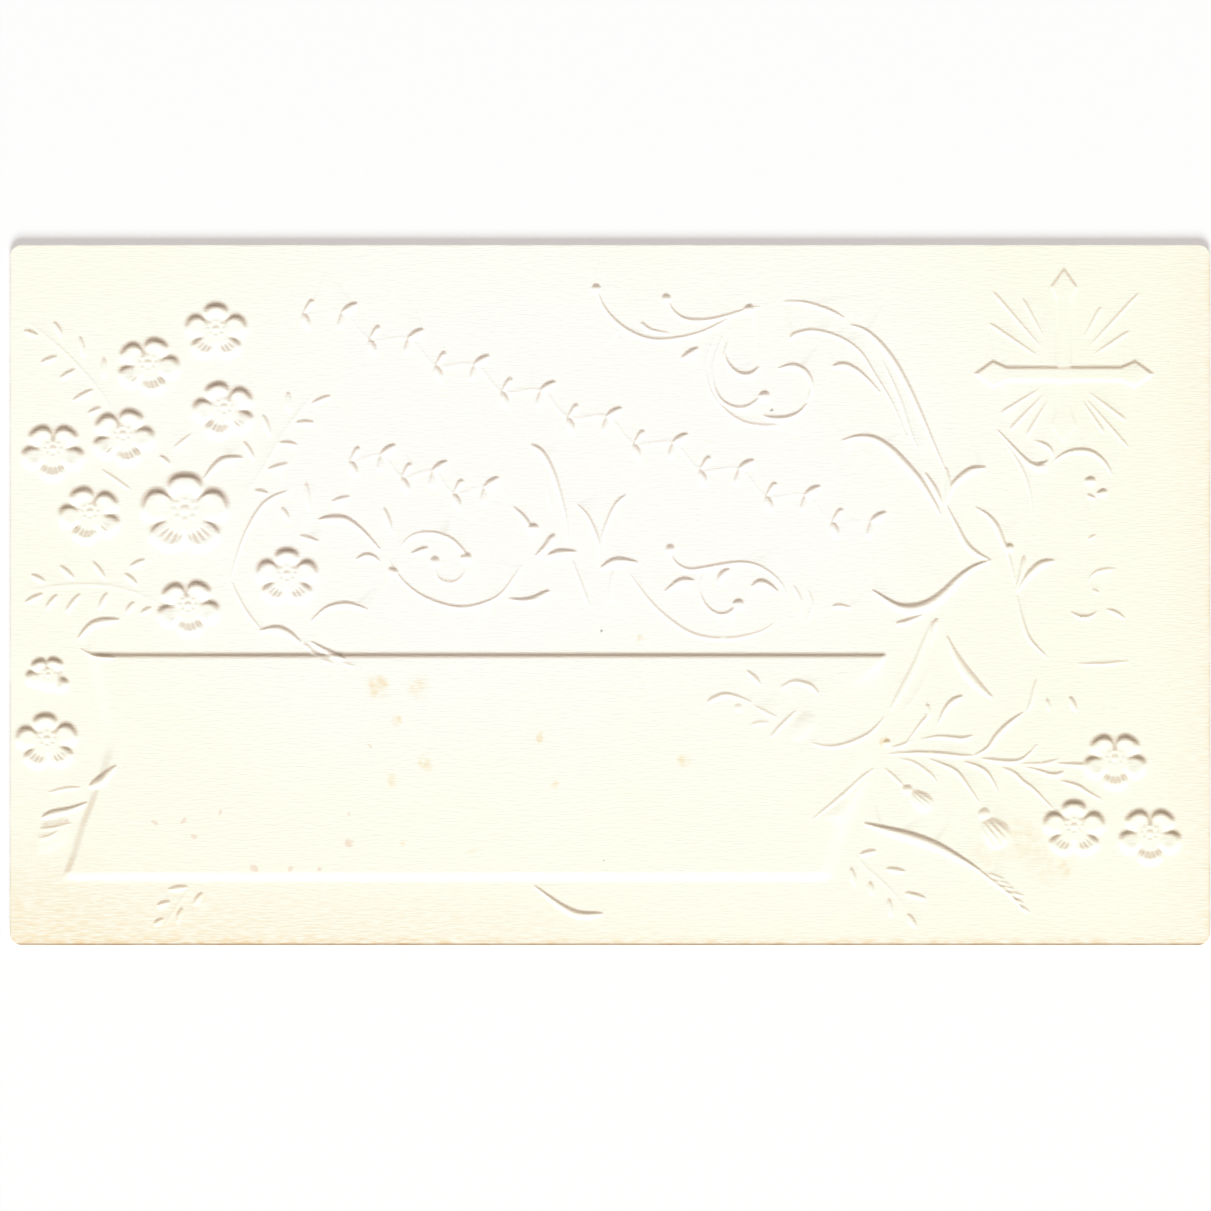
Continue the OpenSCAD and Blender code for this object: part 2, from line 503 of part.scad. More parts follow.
module bottom_left(tier)
    from_corner(false, true) {
        flower(corner_flower, flower_across, full_bloom, tier);
        flower(half_flower, half_flower_across, half_bloom, tier);
        sprig(foot_stem, foot_leaflets, tier);
        strokes(corner_strokes, tier);
        bosses([corner_leaf], tier);
    }

module middle(tier)
    from_middle() {
        strokes(middle_strokes, tier);
        bosses(middle_knots, tier);
        if (tier <= 2) {
            garland(upper_garland, tier);
            garland(lower_garland, tier);
        }
    }

module top_right(tier)
    from_corner(true, false) {
        strokes(scroll_strokes, tier);
        bosses(scroll_knots, tier);
        strokes(leaf_strokes, tier);
        bosses(leaf_knots, tier);
        cross(cross_step * (tier - 1));
        if (tier == 1)
            cross_rays();
    }

module bottom_right(tier)
    from_corner(true, true) {
        for (f = right_flowers)
            flower(f, flower_across, full_bloom, tier);
        sprig(tail_stem, tail_leaflets, tier);
        strokes(spray_strokes, tier);
        bosses(spray_buds, tier);
    }

// Leaves that lie on the panel, one terrace above it
module on_panel() {
    from_corner(false, true) strokes([panel_leaf], 1);
    from_corner(true, true) {
        strokes(panel_strokes, 1);
        bosses([panel_bead, panel_leaf_body], 1);
        polygon([for (p = folded_corner) spot(p)]);
    }
}

// Outline of the name panel, with its ends kept to the ends of the card
module panel_outline() {
    level = function (l) -card_height / 2 + foot_margin + (lowest - l[0]) * grid;
    left = function (l) -card_length / 2 + l[1] * grid;
    right = function (l) card_length / 2 - end_margin - (rightmost - l[2]) * grid;
    last = len(panel_levels) - 1;
    polygon(concat(
        [for (l = panel_levels) [left(l), level(l)]],
        [for (i = [last : -1 : 0]) let (l = panel_levels[i]) [right(l), level(l)]]
    ));
}

module name_panel(inset)
    offset(delta = -inset) panel_outline();

// One terrace of a part of the relief
module raised(tier)
    translate([0, 0, board - bite]) linear_extrude(bite + tier * terrace) offset(delta = spread) children();

module relief() {
    for (tier = terraces) {
        raised(tier) top_left(tier);
        raised(tier) bottom_left(tier);
        raised(tier) middle(tier);
        raised(tier) top_right(tier);
        raised(tier) bottom_right(tier);
        if (tier <= panel_terraces)
            raised(tier) name_panel(panel_step * (tier - 1));
    }
    raised(panel_terraces + 1) on_panel();
}

// Round hollow behind a flower
module dish(place, across)
    translate(spot(place[0])) circle(dish_share * across / 2, $fn = corner_facets);

module hollows()
    translate([0, 0, -bite]) linear_extrude(bite + hollow) {
        name_panel(panel_step * panel_terraces);
        from_corner(false, false) {
            for (f = left_flowers)
                dish(f, flower_across);
            dish(large_flower, large_flower_across);
        }
        from_corner(false, true) {
            dish(corner_flower, flower_across);
            dish(half_flower, half_flower_across);
        }
        from_corner(true, true)
            for (f = right_flowers)
                dish(f, flower_across);
        from_corner(true, false) cross(cross_step);
    }

module blank()
    linear_extrude(board) {
        inner = [card_length, card_height] - 2 * [corner_radius, corner_radius];
        square([card_length, inner[1]], center = true);
        square([inner[0], card_height], center = true);
        for (x = [-1, 1], y = [-1, 1])
            translate([x * inner[0], y * inner[1]] / 2) circle(corner_radius, $fn = corner_facets);
    }

module card()
    color("ivory") difference() {
        union() {
            blank();
            relief();
        }
        hollows();
    }

card();
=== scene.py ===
import math
import bpy
import numpy as np
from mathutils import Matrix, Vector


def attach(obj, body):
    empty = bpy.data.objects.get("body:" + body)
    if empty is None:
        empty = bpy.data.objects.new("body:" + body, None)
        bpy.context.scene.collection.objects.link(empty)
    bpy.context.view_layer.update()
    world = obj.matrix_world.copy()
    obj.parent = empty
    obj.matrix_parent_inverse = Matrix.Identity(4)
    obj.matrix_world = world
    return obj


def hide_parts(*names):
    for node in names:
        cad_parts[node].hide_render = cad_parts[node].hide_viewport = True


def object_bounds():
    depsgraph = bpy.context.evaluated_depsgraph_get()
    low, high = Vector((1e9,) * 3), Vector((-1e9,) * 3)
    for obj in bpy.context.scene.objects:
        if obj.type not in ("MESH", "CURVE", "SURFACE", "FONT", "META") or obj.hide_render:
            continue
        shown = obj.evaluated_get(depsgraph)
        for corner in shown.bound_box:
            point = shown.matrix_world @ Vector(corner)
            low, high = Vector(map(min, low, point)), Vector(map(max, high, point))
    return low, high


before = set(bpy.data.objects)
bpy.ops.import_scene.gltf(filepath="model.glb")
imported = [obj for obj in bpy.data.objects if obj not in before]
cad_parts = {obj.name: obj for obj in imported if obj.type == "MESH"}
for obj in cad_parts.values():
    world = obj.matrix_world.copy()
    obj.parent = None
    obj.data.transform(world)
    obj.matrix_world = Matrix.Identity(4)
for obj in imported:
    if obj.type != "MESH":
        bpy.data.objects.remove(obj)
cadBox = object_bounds()

scene = bpy.context.scene
scene.view_settings.view_transform = "Standard"
mm = 0.001
tiny = 1e-9

# the card is drawn on squared paper: squares from its left edge, and down from its top edge
sheet = {
    "length": round((cadBox[1][0] - cadBox[0][0]) / mm, 3),
    "height": round((cadBox[1][1] - cadBox[0][1]) / mm, 3),
    "board": 0.45, "square": 0.75, "cornerRadius": 0.9,
    "cell": 0.09, "smooth": 0.5, "faceRounds": 1, "backRounds": 16, "sharpAngle": 50,
    "faceTriangles": 150000, "backTriangles": 26000,
}

# width and rise of each pen in mm, and how far along a line is widest
pens = {
    "stem": (0.36, 0.016), "hair": (0.34, 0.042), "line": (0.38, 0.066), "bold": (0.5, 0.088),
    "broad": (0.66, 0.112), "band": (0.88, 0.15), "soft": (0.6, 0.05), "wide": (0.85, 0.09),
    "leaflet": (0.5, 0.072), "stemSwell": 0.4, "leafletSwell": 0.5, "hatchSwell": 0.3,
    "tipShare": 0.2, "stepsToSpan": 6,
}

# bosses are buds, knots and beads
press = {
    "shallower": 0.3, "backShare": 0.5,
    "bossRise": 0.09, "bossRiseToWidth": 0.06, "bossTaper": 0.2, "ribTurns": 2.5,
}

# a blossom's places are shares of its reach, and its rises and slopes are in mm
blossom = {"petals": (0, 72, 144, 216, 288), "rise": 0.23, "spread": 1.12, "margin": 1.3}
lobe = {
    "out": 0.6, "length": 0.43, "width": 0.5, "flare": 0.1, "power": 2.6, "edge": 1.1, "steep": 1.2,
    "slope": 0.6, "flank": 0.48, "flankSlope": 1.2, "core": (0.3, 0.75), "join": 4,
}
rim = {
    "length": 0.37, "width": 0.37, "flare": 0.25, "narrowest": 0.1, "power": 3, "slope": 0.26,
    "core": (0.38, 0.6), "share": 0.3,
}
heart = {
    "cup": (0.45, 0.78), "cupShare": 0.3, "up": 0.1, "button": (0.05, 0.14), "buttonRise": 0.04,
    "beads": 8, "beadRing": 0.24, "beadSize": 0.09, "beadRise": 0.03,
    "grooves": 30, "grooveDepth": 0.04, "grooveStart": (0.39, 0.53), "grooveEnd": (0.68, 0.84),
    "grooveSide": (0.45, 0.8),
}

# a flower is its place and turn, a boss its place, length, width in mm and turn,
# and a stroke its pen, how far along it is widest and its points
leftSpray = {
    "across": 4.4, "largeAcross": 6.1, "largeRise": 0.255,
    "flowers": [
        [(20.6, 8.7), 90], [(13.8, 12.1), 68], [(21.4, 16.5), 37], [(11.3, 19.2), 68],
        [(4.3, 20.7), 53], [(8, 27), 40], [(27.7, 33.2), 90], [(17.8, 36.3), 60]
    ],
    "largeFlower": [(17.5, 26.9), 90],
    "topStem": [(1.8, 7.7), (5.2, 10.5), (8.5, 14), (11, 17.6)],
    "topLeaflets": [
        [(1.4, 8.6), (2.8, 9.1)], [(3.1, 11.8), (4.7, 11.2)], [(5, 13.4), (6.5, 12.5)],
        [(6.3, 15.6), (8.3, 14.5)], [(7.8, 16.9), (9.1, 16.3)], [(4.4, 7.7), (5.2, 9.2)],
        [(7, 9.2), (7.4, 11.3)], [(9.4, 11.3), (9.4, 13.3)]
    ],
    "lowStem": [(2, 34.6), (6, 34), (11, 34.3), (15.5, 36.1)],
    "lowLeaflets": [
        [(2.1, 33), (3.5, 33.7)], [(5, 32.1), (6.4, 33.4)], [(8.3, 31.7), (9.5, 33.4)],
        [(13.5, 31.5), (12, 32.2)], [(11.5, 32.9), (12.7, 34)], [(1.5, 35.8), (3.3, 34.9)],
        [(3.6, 36.4), (4.7, 35)], [(5.6, 36.7), (7, 34.9)], [(8.9, 36.5), (9.7, 34.8)],
        [(11.6, 36.9), (12.4, 35.7)], [(13.1, 36.9), (14.1, 36.3)]
    ],
    "sideStem": [(30.6, 14.6), (27.5, 18.6), (25.4, 22.2), (23.2, 25.4)],
    "sideLeaflets": [
        [(32.1, 15.1), (30.2, 15.9)], [(30.4, 17.8), (28.6, 17.8)], [(28.7, 20), (26.9, 19.8)],
        [(27.8, 21.9), (25.8, 22.5)], [(25.8, 24.9), (24.5, 24.6)], [(27.8, 14.7), (27.9, 16.8)],
        [(25.3, 17), (26, 19.1)], [(23.4, 19.7), (24.4, 21.5)], [(15, 21.1), (16, 22)],
        [(29.6, 23.8), (29.9, 26.6)], [(34, 25.2), (32.2, 25.7)], [(27.2, 26.3), (27.9, 27.6)],
        [(29, 29.1), (30.8, 29.7)]
    ],
    "strokes": [
        ("hair", 0.5, [(9, 22.4), (12.2, 24.6)]),
        ("line", 0.3, [(27.8, 24.6), (25.4, 25.9), (23.4, 29.2), (22, 33.5)]),
        ("hair", 0.5, [(22, 33.5), (23.5, 36.5), (25.2, 38.6)]),
        ("hair", 0.5, [(16.3, 20.4), (18.2, 18.9)]),
        ("broad", 0.5, [(19.4, 23.4), (21.2, 21.6), (23.3, 21.3)]),
        ("broad", 0.6, [(6.8, 39.4), (8.4, 37.9), (10.9, 37.5)]),
        ("broad", 0.5, [(24.9, 38.6), (26.6, 38.4), (27.9, 38.9), (29.1, 39.8)]),
        ("bold", 0.6, [(30.1, 37.7), (31.4, 36.5), (32.8, 36), (34.2, 36), (35.8, 36.5)])
    ],
}

lowerCorner = {
    "across": 4.4, "halfAcross": 3.2,
    "flower": [(3.7, 49.7), 95],
    "halfFlower": [(3.8, 43.2), 0],
    "halfBloom": [65, 125, 185, 325],
    "footStem": [(18, 64.3), (16.8, 66), (15.5, 68)],
    "footLeaflets": [
        [(15.8, 64.5), (17.8, 64.2)], [(14.7, 66.1), (16, 65.7)], [(18.4, 66), (19.2, 64.8)],
        [(16.7, 67.8), (17.2, 66.3)], [(14.4, 68), (15.3, 67.4)]
    ],
    "strokes": [
        ("hair", 0.5, [(3.8, 54.8), (5.6, 54.4), (7.1, 54.3)]),
        ("broad", 0.35, [(3.2, 57.3), (4.3, 56.9), (6, 56.5), (7.7, 55.8)]),
        ("band", 0.45, [(8, 54.2), (9.2, 53.5), (10.6, 52.1)]),
        ("line", 0.8, [(7, 40.4), (7.9, 40.9), (9, 41.2), (10.6, 41.3)])
    ],
    "leaf": [(4.3, 59), 3.4, 2.2, 57], "leafShare": 0.4,
    "veins": [
        ("hair", 0.5, [(2.9, 58.4), (4.4, 58.3), (6.2, 57.8)]),
        ("hair", 0.5, [(2.9, 59.4), (4.1, 59.1), (4.9, 58.5)])
    ],
}

middleScroll = {
    "strokes": [
        ("broad", 0.25, [(30.9, 27.5), (32.2, 27.4), (33.6, 27.5), (35.2, 28.6), (37, 30.5)]),
        ("bold", 0.4, [(34.6, 31.5), (35.5, 31.1), (36.3, 31.2), (37, 31.7)]),
        ("bold", 0.5, [(37.4, 26.3), (37.8, 27.6), (38.2, 28.8)]),
        ("line", 0.5, [
            (37.9, 31.5), (39, 33.3), (40.8, 34.9), (43, 35.9), (45.2, 36.3), (47.5, 35.8), (49.3, 34.7),
            (51.2, 32)
        ]),
        ("line", 0.8, [
            (39, 30.3), (40, 29.2), (41.3, 28.8), (42.8, 28.9), (44.2, 29.5), (45.2, 30.5), (45.8, 31.3)
        ]),
        ("bold", 0.6, [(40.1, 30.9), (41, 30.6), (41.8, 30.3)]),
        ("hair", 0.5, [(42.5, 31.8), (42.8, 33.3), (44, 33.8), (45, 33.4), (45.6, 32.5)]),
        ("bold", 0.15, [(52.1, 20), (53.2, 20.8), (54.2, 22.6), (55, 25), (55.6, 27.5), (55.8, 30)]),
        ("hair", 0.5, [(53.7, 21.7), (53.8, 24.5), (54.1, 26.5)]),
        ("line", 0.6, [(56.6, 25.9), (57.6, 26.9), (58.4, 28.5), (58.9, 30.2), (59, 32.5)]),
        ("line", 0.2, [(61.6, 25), (60.6, 26), (59.8, 27.6), (59.2, 29.4), (59, 31.5)]),
        ("bold", 0.5, [(50.3, 26.2), (51.2, 27.1), (51.9, 28.2), (52.2, 29.8)]),
        ("broad", 0.3, [(54.4, 29), (53.7, 30.1), (52.6, 31.1)]),
        ("broad", 0.45, [(53.8, 31.1), (55, 30.8), (56.6, 30.7)]),
        ("broad", 0.4, [(59, 32.4), (60.3, 31.7), (61.4, 31.6), (62.8, 31.8)]),
        ("hair", 0.6, [(56.2, 31.5), (57, 33.7), (58, 36.3)]),
        ("hair", 0.5, [(60.3, 32.5), (59.8, 36)]),
        ("broad", 0.75, [(49.9, 35.4), (51.3, 35.6), (52.6, 35.4), (53.9, 34.6)]),
        ("hair", 0.3, [(61.8, 32.7), (64.5, 36.2), (68, 38.8), (71.5, 39.4), (75, 38.7), (77, 37.4)]),
        ("line", 0.45, [
            (66.1, 30.2), (66.2, 31.2), (66.8, 32), (68, 32.5), (69.6, 32.3), (71.3, 32), (73, 31.8),
            (74.5, 32), (76, 32.8), (77.2, 34), (77.6, 35.3)
        ]),
        ("broad", 0.6, [(65.5, 34.7), (66.6, 33.9), (67.4, 33.6), (68.4, 33.6)]),
        ("line", 0.7, [
            (69.2, 33), (69, 34.8), (69.7, 36.2), (70.7, 36.9), (71.7, 36.9), (72.5, 36.3), (72.8, 35.6)
        ]),
        ("broad", 0.4, [(71.9, 32.4), (71.2, 33.1), (70.8, 33.9)]),
        ("broad", 0.35, [(74.2, 34.2), (75, 33.8), (75.8, 34), (76.8, 34.7)]),
        ("hair", 0.5, [(78.3, 34), (79, 35.5), (78.9, 37.3)]),
        ("hair", 0.5, [(79.8, 34.5), (80.2, 36), (79.8, 37.5)]),
        ("line", 0.4, [(82.2, 36.2), (83, 36.1), (84.1, 36.3)])
    ],
    "knots": [
        ((38.3, 32.7), 0.9, 0.7, -50), ((45.6, 31.3), 0.9, 0.8, 0), ((42.5, 31.7), 0.9, 0.7, 90),
        ((52.2, 28.3), 1.1, 0.7, 0), ((66, 30.5), 0.9, 0.7, 80), ((72.8, 35.9), 0.9, 0.8, 0)
    ],
}

# garlands: the two ends and the number of waves, and each twig's pen, swell and reach along and across
garlands = {
    "upper": [(28, 5.5), (87.5, 29), 9],
    "lower": [(33, 20.5), (48.5, 25.4), 3],
    "sway": 0.75, "leaf": 1.7, "stemSwell": 0.5, "stepsToWave": 16,
    "twigs": [("broad", 0.5, (0.6, 0.8)), ("bold", 0.75, (0.2, -0.9))],
}

topScroll = {
    "strokes": [
        ("line", 0.3, [
            (58.6, 4.3), (59.3, 6.1), (60.6, 7.7), (62.4, 8.9), (64.5, 9.5), (67, 9.3), (69.5, 8.6),
            (72, 7.3), (73.8, 6.4)
        ]),
        ("line", 0.35, [
            (65.7, 5.4), (66.3, 6.6), (67.4, 7.4), (68.8, 7.6), (70.5, 7.4), (72.3, 6.9), (73.8, 6.4),
            (75, 6.2)
        ]),
        ("line", 0.2, [(63.1, 7.8), (64, 8.5), (66, 8.9)]),
        ("broad", 0.5, [(67.2, 11.4), (68, 10.9), (68.8, 10.3)]),
        ("hair", 0.7, [
            (70.5, 9), (69.5, 12), (70.1, 14.7), (71.7, 16.7), (73.5, 17.8), (75.5, 18.1), (77.2, 17.9)
        ]),
        ("bold", 0.35, [(76.8, 12.4), (78, 12.1), (79, 12.3), (79.8, 13), (80.2, 14.2), (79.8, 15.5)]),
        ("bold", 0.4, [(75.3, 17.1), (76.5, 17.4), (77.8, 17.3), (78.9, 16.8), (79.7, 15.9)]),
        ("line", 0.7, [
            (71.2, 9.2), (70.4, 11.5), (70.3, 13.8), (71, 15.4), (72.2, 16.2), (73.4, 16.3), (74.4, 15.8),
            (75.1, 15.1)
        ]),
        ("bold", 0.75, [(71.7, 9.8), (71.5, 11.2), (72.2, 12.4), (73.2, 13), (74.2, 12.9), (74.9, 12.2)]),
        ("line", 0.6, [(77.2, 5.7), (79.5, 5.8), (82, 6.6), (83.5, 7.4)]),
        ("bold", 0.35, [
            (84, 8), (85.6, 8.6), (87.2, 10.1), (88.6, 12), (89.9, 14.4), (91.2, 17.2), (92.4, 20),
            (93.5, 22.5)
        ]),
        ("line", 0.1, [
            (78, 9.5), (78.6, 8.9), (80.5, 8.6), (83, 9.3), (85, 10.7), (86.5, 13), (88.3, 16), (89.5, 19)
        ]),
        ("bold", 0.15, [(82.3, 12.2), (83.4, 12), (84.6, 12.5), (85.8, 13.5), (87, 14.8)]),
        ("hair", 0.4, [(87.2, 11.5), (88.8, 15), (90, 18.5), (90.8, 20.5)])
    ],
    "knots": [
        [(73.9, 6.4), 0.8, 0.7, 0], [(75.4, 15.1), 0.9, 0.8, 0], [(58.6, 4.4), 0.8, 0.7, 70],
        [(65.6, 5.4), 0.8, 0.7, 70]
    ],
}

leafTree = {
    "strokes": [
        ("broad", 0.5, [
            (83.2, 19.6), (84.8, 19.2), (86.4, 19.4), (88, 20.4), (89.6, 22), (91, 23.6), (92.4, 25.8),
            (93, 27)
        ]),
        ("bold", 0.5, [(91.5, 22.8), (92.5, 24.5), (93.2, 26)]),
        ("bold", 0.5, [(93.6, 22.3), (93.8, 24), (93.5, 26)]),
        ("broad", 0.35, [(97.6, 22.3), (96.3, 22.5), (95.2, 23.2), (94.2, 24.2), (93.6, 26)]),
        ("bold", 0.6, [(93.6, 26), (94.6, 28), (95.6, 29.9), (96.7, 30.9), (98, 31.5)]),
        ("band", 0.65, [
            (98, 31.6), (96.5, 32.2), (95, 33.3), (93.5, 34.8), (92, 35.9), (90.3, 36.4), (88.6, 36.1),
            (86.3, 34.6)
        ]),
        ("bold", 0.4, [(88.6, 37.9), (89.7, 37.7), (91.3, 37)]),
        ("bold", 0.45, [(96.6, 26.3), (97.7, 27), (98.6, 28.1), (99.2, 29.5), (99.8, 31), (100.5, 33.8)]),
        ("bold", 0.4, [(101.4, 31.1), (101.2, 32.7), (100.6, 34.5)]),
        ("broad", 0.3, [(104.4, 31.6), (103.2, 31.9), (102.2, 32.7), (101.4, 33.6), (100.7, 34.7)]),
        ("line", 0.5, [(100.7, 35), (101.2, 37.5), (102, 39.5), (103.8, 41.3)]),
        ("soft", 0.7, [(92.2, 37.7), (91.5, 39.5), (90.5, 42), (89.3, 44.3), (88, 46.5)]),
        ("bold", 0.3, [(92.7, 37.4), (92.3, 38.5), (92.1, 40)]),
        ("wide", 0.6, [(93.7, 39.2), (94.5, 41), (95.5, 42.6), (96.8, 44.1), (98.2, 45.3)]),
        ("stem", 0.4, [(91.8, 42.5), (91, 44.5), (89, 47)]),
        ("hair", 0.5, [(99.1, 19.3), (100.5, 21.2), (101.5, 23.2), (102, 25), (102.3, 27)]),
        ("line", 0.5, [(102.4, 19.6), (103.3, 19.9), (104, 20.4), (104.4, 21.3)]),
        ("bold", 0.8, [(98.8, 18.6), (99.9, 19.8), (101, 21), (102, 21.9), (103, 22.1), (103.8, 21.6)]),
        ("bold", 0.5, [
            (104.4, 21.6), (105.5, 20.9), (106.8, 20.6), (108.2, 20.8), (109.4, 21.7), (110.2, 23)
        ]),
        ("line", 0.5, [(107.7, 25), (108.5, 25.4)]),
        ("hair", 0.5, [(107.8, 29.5), (108.6, 29)]),
        ("hair", 0.6, [(107.8, 33.6), (108.5, 32.8), (109.5, 32.5), (110.6, 32.4)]),
        ("hair", 0.5, [(108.2, 34.5), (108.9, 34.8)]),
        ("line", 0.5, [(106, 36.7), (107, 37.2), (107.9, 37.2), (108.7, 36.7)]),
        ("line", 0.5, [(109.7, 36.5), (110.6, 36.8), (111.5, 37.4)]),
        ("hair", 0.5, [(106.7, 41.9), (109.5, 41.9), (112, 41.6)])
    ],
    "knots": [
        [(103, 22.2), 1.2, 0.7, 15], [(108, 23.6), 0.9, 0.7, 0], [(109.2, 24.8), 0.9, 0.6, 15],
        [(99.9, 30.3), 0.8, 0.7, 0]
    ],
}

rightSpray = {
    "across": 4.4,
    "flowers": [[(110.5, 51.6), 55], [(106.4, 58.4), 90], [(114, 59.1), 54]],
    "tailStem": [(84.7, 61.1), (85.5, 62.2), (87, 63.5), (88.5, 65), (89.7, 66.7)],
    "tailLeaflets": [
        [(85, 61), (86.6, 60.6)], [(87.6, 62.4), (89.5, 62.7)], [(89.5, 64.8), (91.6, 65.4)],
        [(84.1, 62.3), (84.5, 64.1)], [(86, 63.7), (86.2, 65.1)], [(87.9, 65.4), (88.1, 67.2)],
        [(89.8, 66.9), (90.6, 68.3)]
    ],
    "strokes": [
        ("line", 0.5, [(87.9, 50.9), (90.5, 50.8), (93, 50.9), (95, 51.1), (96.4, 51.1)]),
        ("bold", 0.4, [(101.3, 46.8), (100, 47.8), (98.7, 49.1), (97.8, 50.3), (96.4, 51.1)]),
        ("line", 0.25, [(97.2, 51.4), (98.7, 51.6), (100, 51.7), (101.1, 51.5), (102, 50.8), (102.8, 49.9)]),
        ("hair", 0.5, [(101, 51.9), (103.3, 51.9), (105, 51.4)]),
        ("line", 0.7, [(104.6, 51.9), (106.5, 52), (108, 52.1)]),
        ("line", 0.8, [(101, 52.1), (102.6, 52.5), (103.8, 52.9), (104.6, 53), (105.4, 52.7)]),
        ("line", 0.4, [(105, 53.6), (106.7, 54.1), (107.7, 54.7), (109.2, 55.5)]),
        ("line", 0.35, [
            (99.2, 52.3), (100.4, 52.8), (101.2, 53.6), (102.3, 54.4), (103.4, 55.5), (104.4, 56.5)
        ]),
        ("line", 0.4, [(95.3, 51.7), (96.6, 52.1), (97.6, 52.7), (98.3, 53.7), (98.9, 54.9)]),
        ("line", 0.5, [(91.8, 51.4), (93.1, 51.9), (94.4, 52.5), (95.1, 53.2), (95.9, 54.3), (97, 55.9)]),
        ("hair", 0.5, [(88.8, 51.4), (90.2, 51.7), (91.2, 52.3), (92.2, 53.1), (92.8, 53.9)]),
        ("line", 0.75, [(91, 49.5), (92.7, 49.2), (94.2, 49.3), (95.2, 49.4), (96.3, 49.1)]),
        ("hair", 0.5, [(88.2, 50.3), (89.3, 50), (90.3, 49.5)]),
        ("line", 0.15, [(91.7, 45.9), (91.8, 47), (91, 48), (89.5, 50)]),
        ("bold", 0.3, [(95.3, 45.1), (94.2, 45.7), (93.4, 46.7), (92.8, 48)]),
        ("line", 0.4, [(102.6, 43.5), (102.2, 45.5), (101.7, 46.7)]),
        ("line", 0.5, [(103.7, 45.4), (103.9, 46.6)]),
        ("bold", 0.5, [(106, 45.2), (106.6, 46.7)]),
        ("hair", 0.5, [(87.4, 52.3), (88.5, 53.3), (89.4, 54.2)]),
        ("band", 0.45, [(85.5, 57.9), (87.5, 58.5), (90, 59.2), (92.5, 60.1), (95, 61.4), (97, 62.6)]),
        ("line", 0.4, [(96.5, 62.3), (98.2, 63.6), (100.2, 65.2), (101.6, 66.9)]),
        ("broad", 0.65, [(52.4, 64.1), (55.2, 66.2), (57, 67), (59.3, 66.9)])
    ],
    "buds": [
        [(89.7, 54.5), 0.9, 0.8, -20], [(91.1, 55.6), 2.1, 1.5, -40],
        [(97.4, 56.9), 1, 0.9, 20], [(98.5, 58.8), 2.6, 2.2, -50], [(87.7, 49.8), 0.6, 0.6, 0]
    ],
    "budRibs": 0.25, "budShare": 0.75,
    "hatch": [
        ((97.8, 62.9), (99.5, 63.5)), ((98.4, 63.5), (100, 64)), ((99.1, 64.1), (100.5, 64.5)),
        ((99.7, 64.7), (101.4, 65.1)), ((100.4, 65.4), (101.4, 65.9)), ((101, 66.1), (102, 66.8))
    ],
}

# name panel: the left and the right end of each level, from the top down, and the widths of its slopes in mm
namePanel = {
    "rise": 0.15, "headLine": 41, "head": 0.62, "core": 0.24, "coreShare": 0.55, "foot": 0.8,
    "sides": (1.2, 0.7), "splay": 0.6, "fade": 3, "fadeHead": 4, "fadeEnds": (47, 55),
    "levels": [
        [40.75, 7.4, 87.7], [43, 8, 87.7], [47, 8.8, 87.7], [50.5, 9.6, 87.2], [53, 9.4, 86.2],
        [55.5, 8.6, 85], [58, 7.6, 84], [61, 6.7, 83.2], [63.75, 5.6, 82.5]
    ],
    "strokes": [
        ("bold", 0.2, [(69.7, 45.8), (70.6, 45.3), (71.6, 45), (73, 45.3), (74.2, 45.8)]),
        ("bold", 0.5, [(73.7, 42.6), (74.5, 43.4), (75, 44)]),
        ("hair", 0.5, [(74.2, 46), (75.5, 46.7), (76.8, 47.3)]),
        ("hair", 0.5, [(74.1, 48), (75, 47.8), (75.9, 47.8)]),
        ("bold", 0.6, [(77, 44.3), (78.3, 43.7), (79.5, 43.9), (80.3, 44.3), (80.9, 45)]),
        ("line", 0.5, [(76, 49.3), (77.2, 48), (78.7, 46.5)]),
        ("line", 0.5, [(80, 49.8), (82, 50.2), (84, 49.8), (86, 48.8), (87.5, 47.2)])
    ],
    "leaf": ("bold", 0.7, [(30.1, 39.7), (31.6, 40.6), (33.6, 41.5)]),
    "hatch": [
        ((29.4, 39.9), (30.3, 40.7)), ((30, 40.6), (31, 41.1)), ((31.2, 41.5), (32.4, 41.9)),
        ((33.2, 41.8), (34.6, 42.2))
    ],
    "beads": [[(72.8, 46.3), 0.7, 0.7, 0], [(79.3, 48.2), 2.6, 1.5, 55]],
    "beadShare": 0.4,
    "foldedCorner": [
        (80.2, 57.5), (83.2, 55.1), (85.3, 52.8), (86.2, 51.3), (86.3, 53.5), (84.6, 57), (83, 60.5),
        (82.4, 58)
    ],
    "foldRise": (0.07, 1),
    "foldLine": ("line", 0.4, [(80.2, 57.5), (83.2, 55.1), (85.3, 53.2), (86.4, 52.4)]),
}

# rays: angle, then where a ray starts and ends
crossSign = {
    "middle": (105.4, 12.9), "arm": 9.2, "head": 10.8, "foot": 7.2, "bar": 1.67, "flare": 2.95,
    "neckBack": 1.2, "flareBack": 0.7, "raySwell": 0.8,
    "armRise": 0.09, "headRise": 0.065, "footRise": 0.03, "slope": 0.26,
    "rays": [
        (33, 3.5, 7.8), (47, 3.6, 11), (61, 4.2, 7.7), (119, 4.2, 8.6), (131, 3.4, 10.9), (146, 3, 9.1),
        (212, 2.8, 7.5), (226, 3, 7.9), (239, 3.2, 7.3), (304, 3.2, 7.2), (311, 3.2, 9.9), (323, 3.1, 7.8)
    ],
}


def ramp(value, low, high):
    t = np.clip((value - low) / (high - low), 0, 1)
    return t * t * (3 - 2 * t)


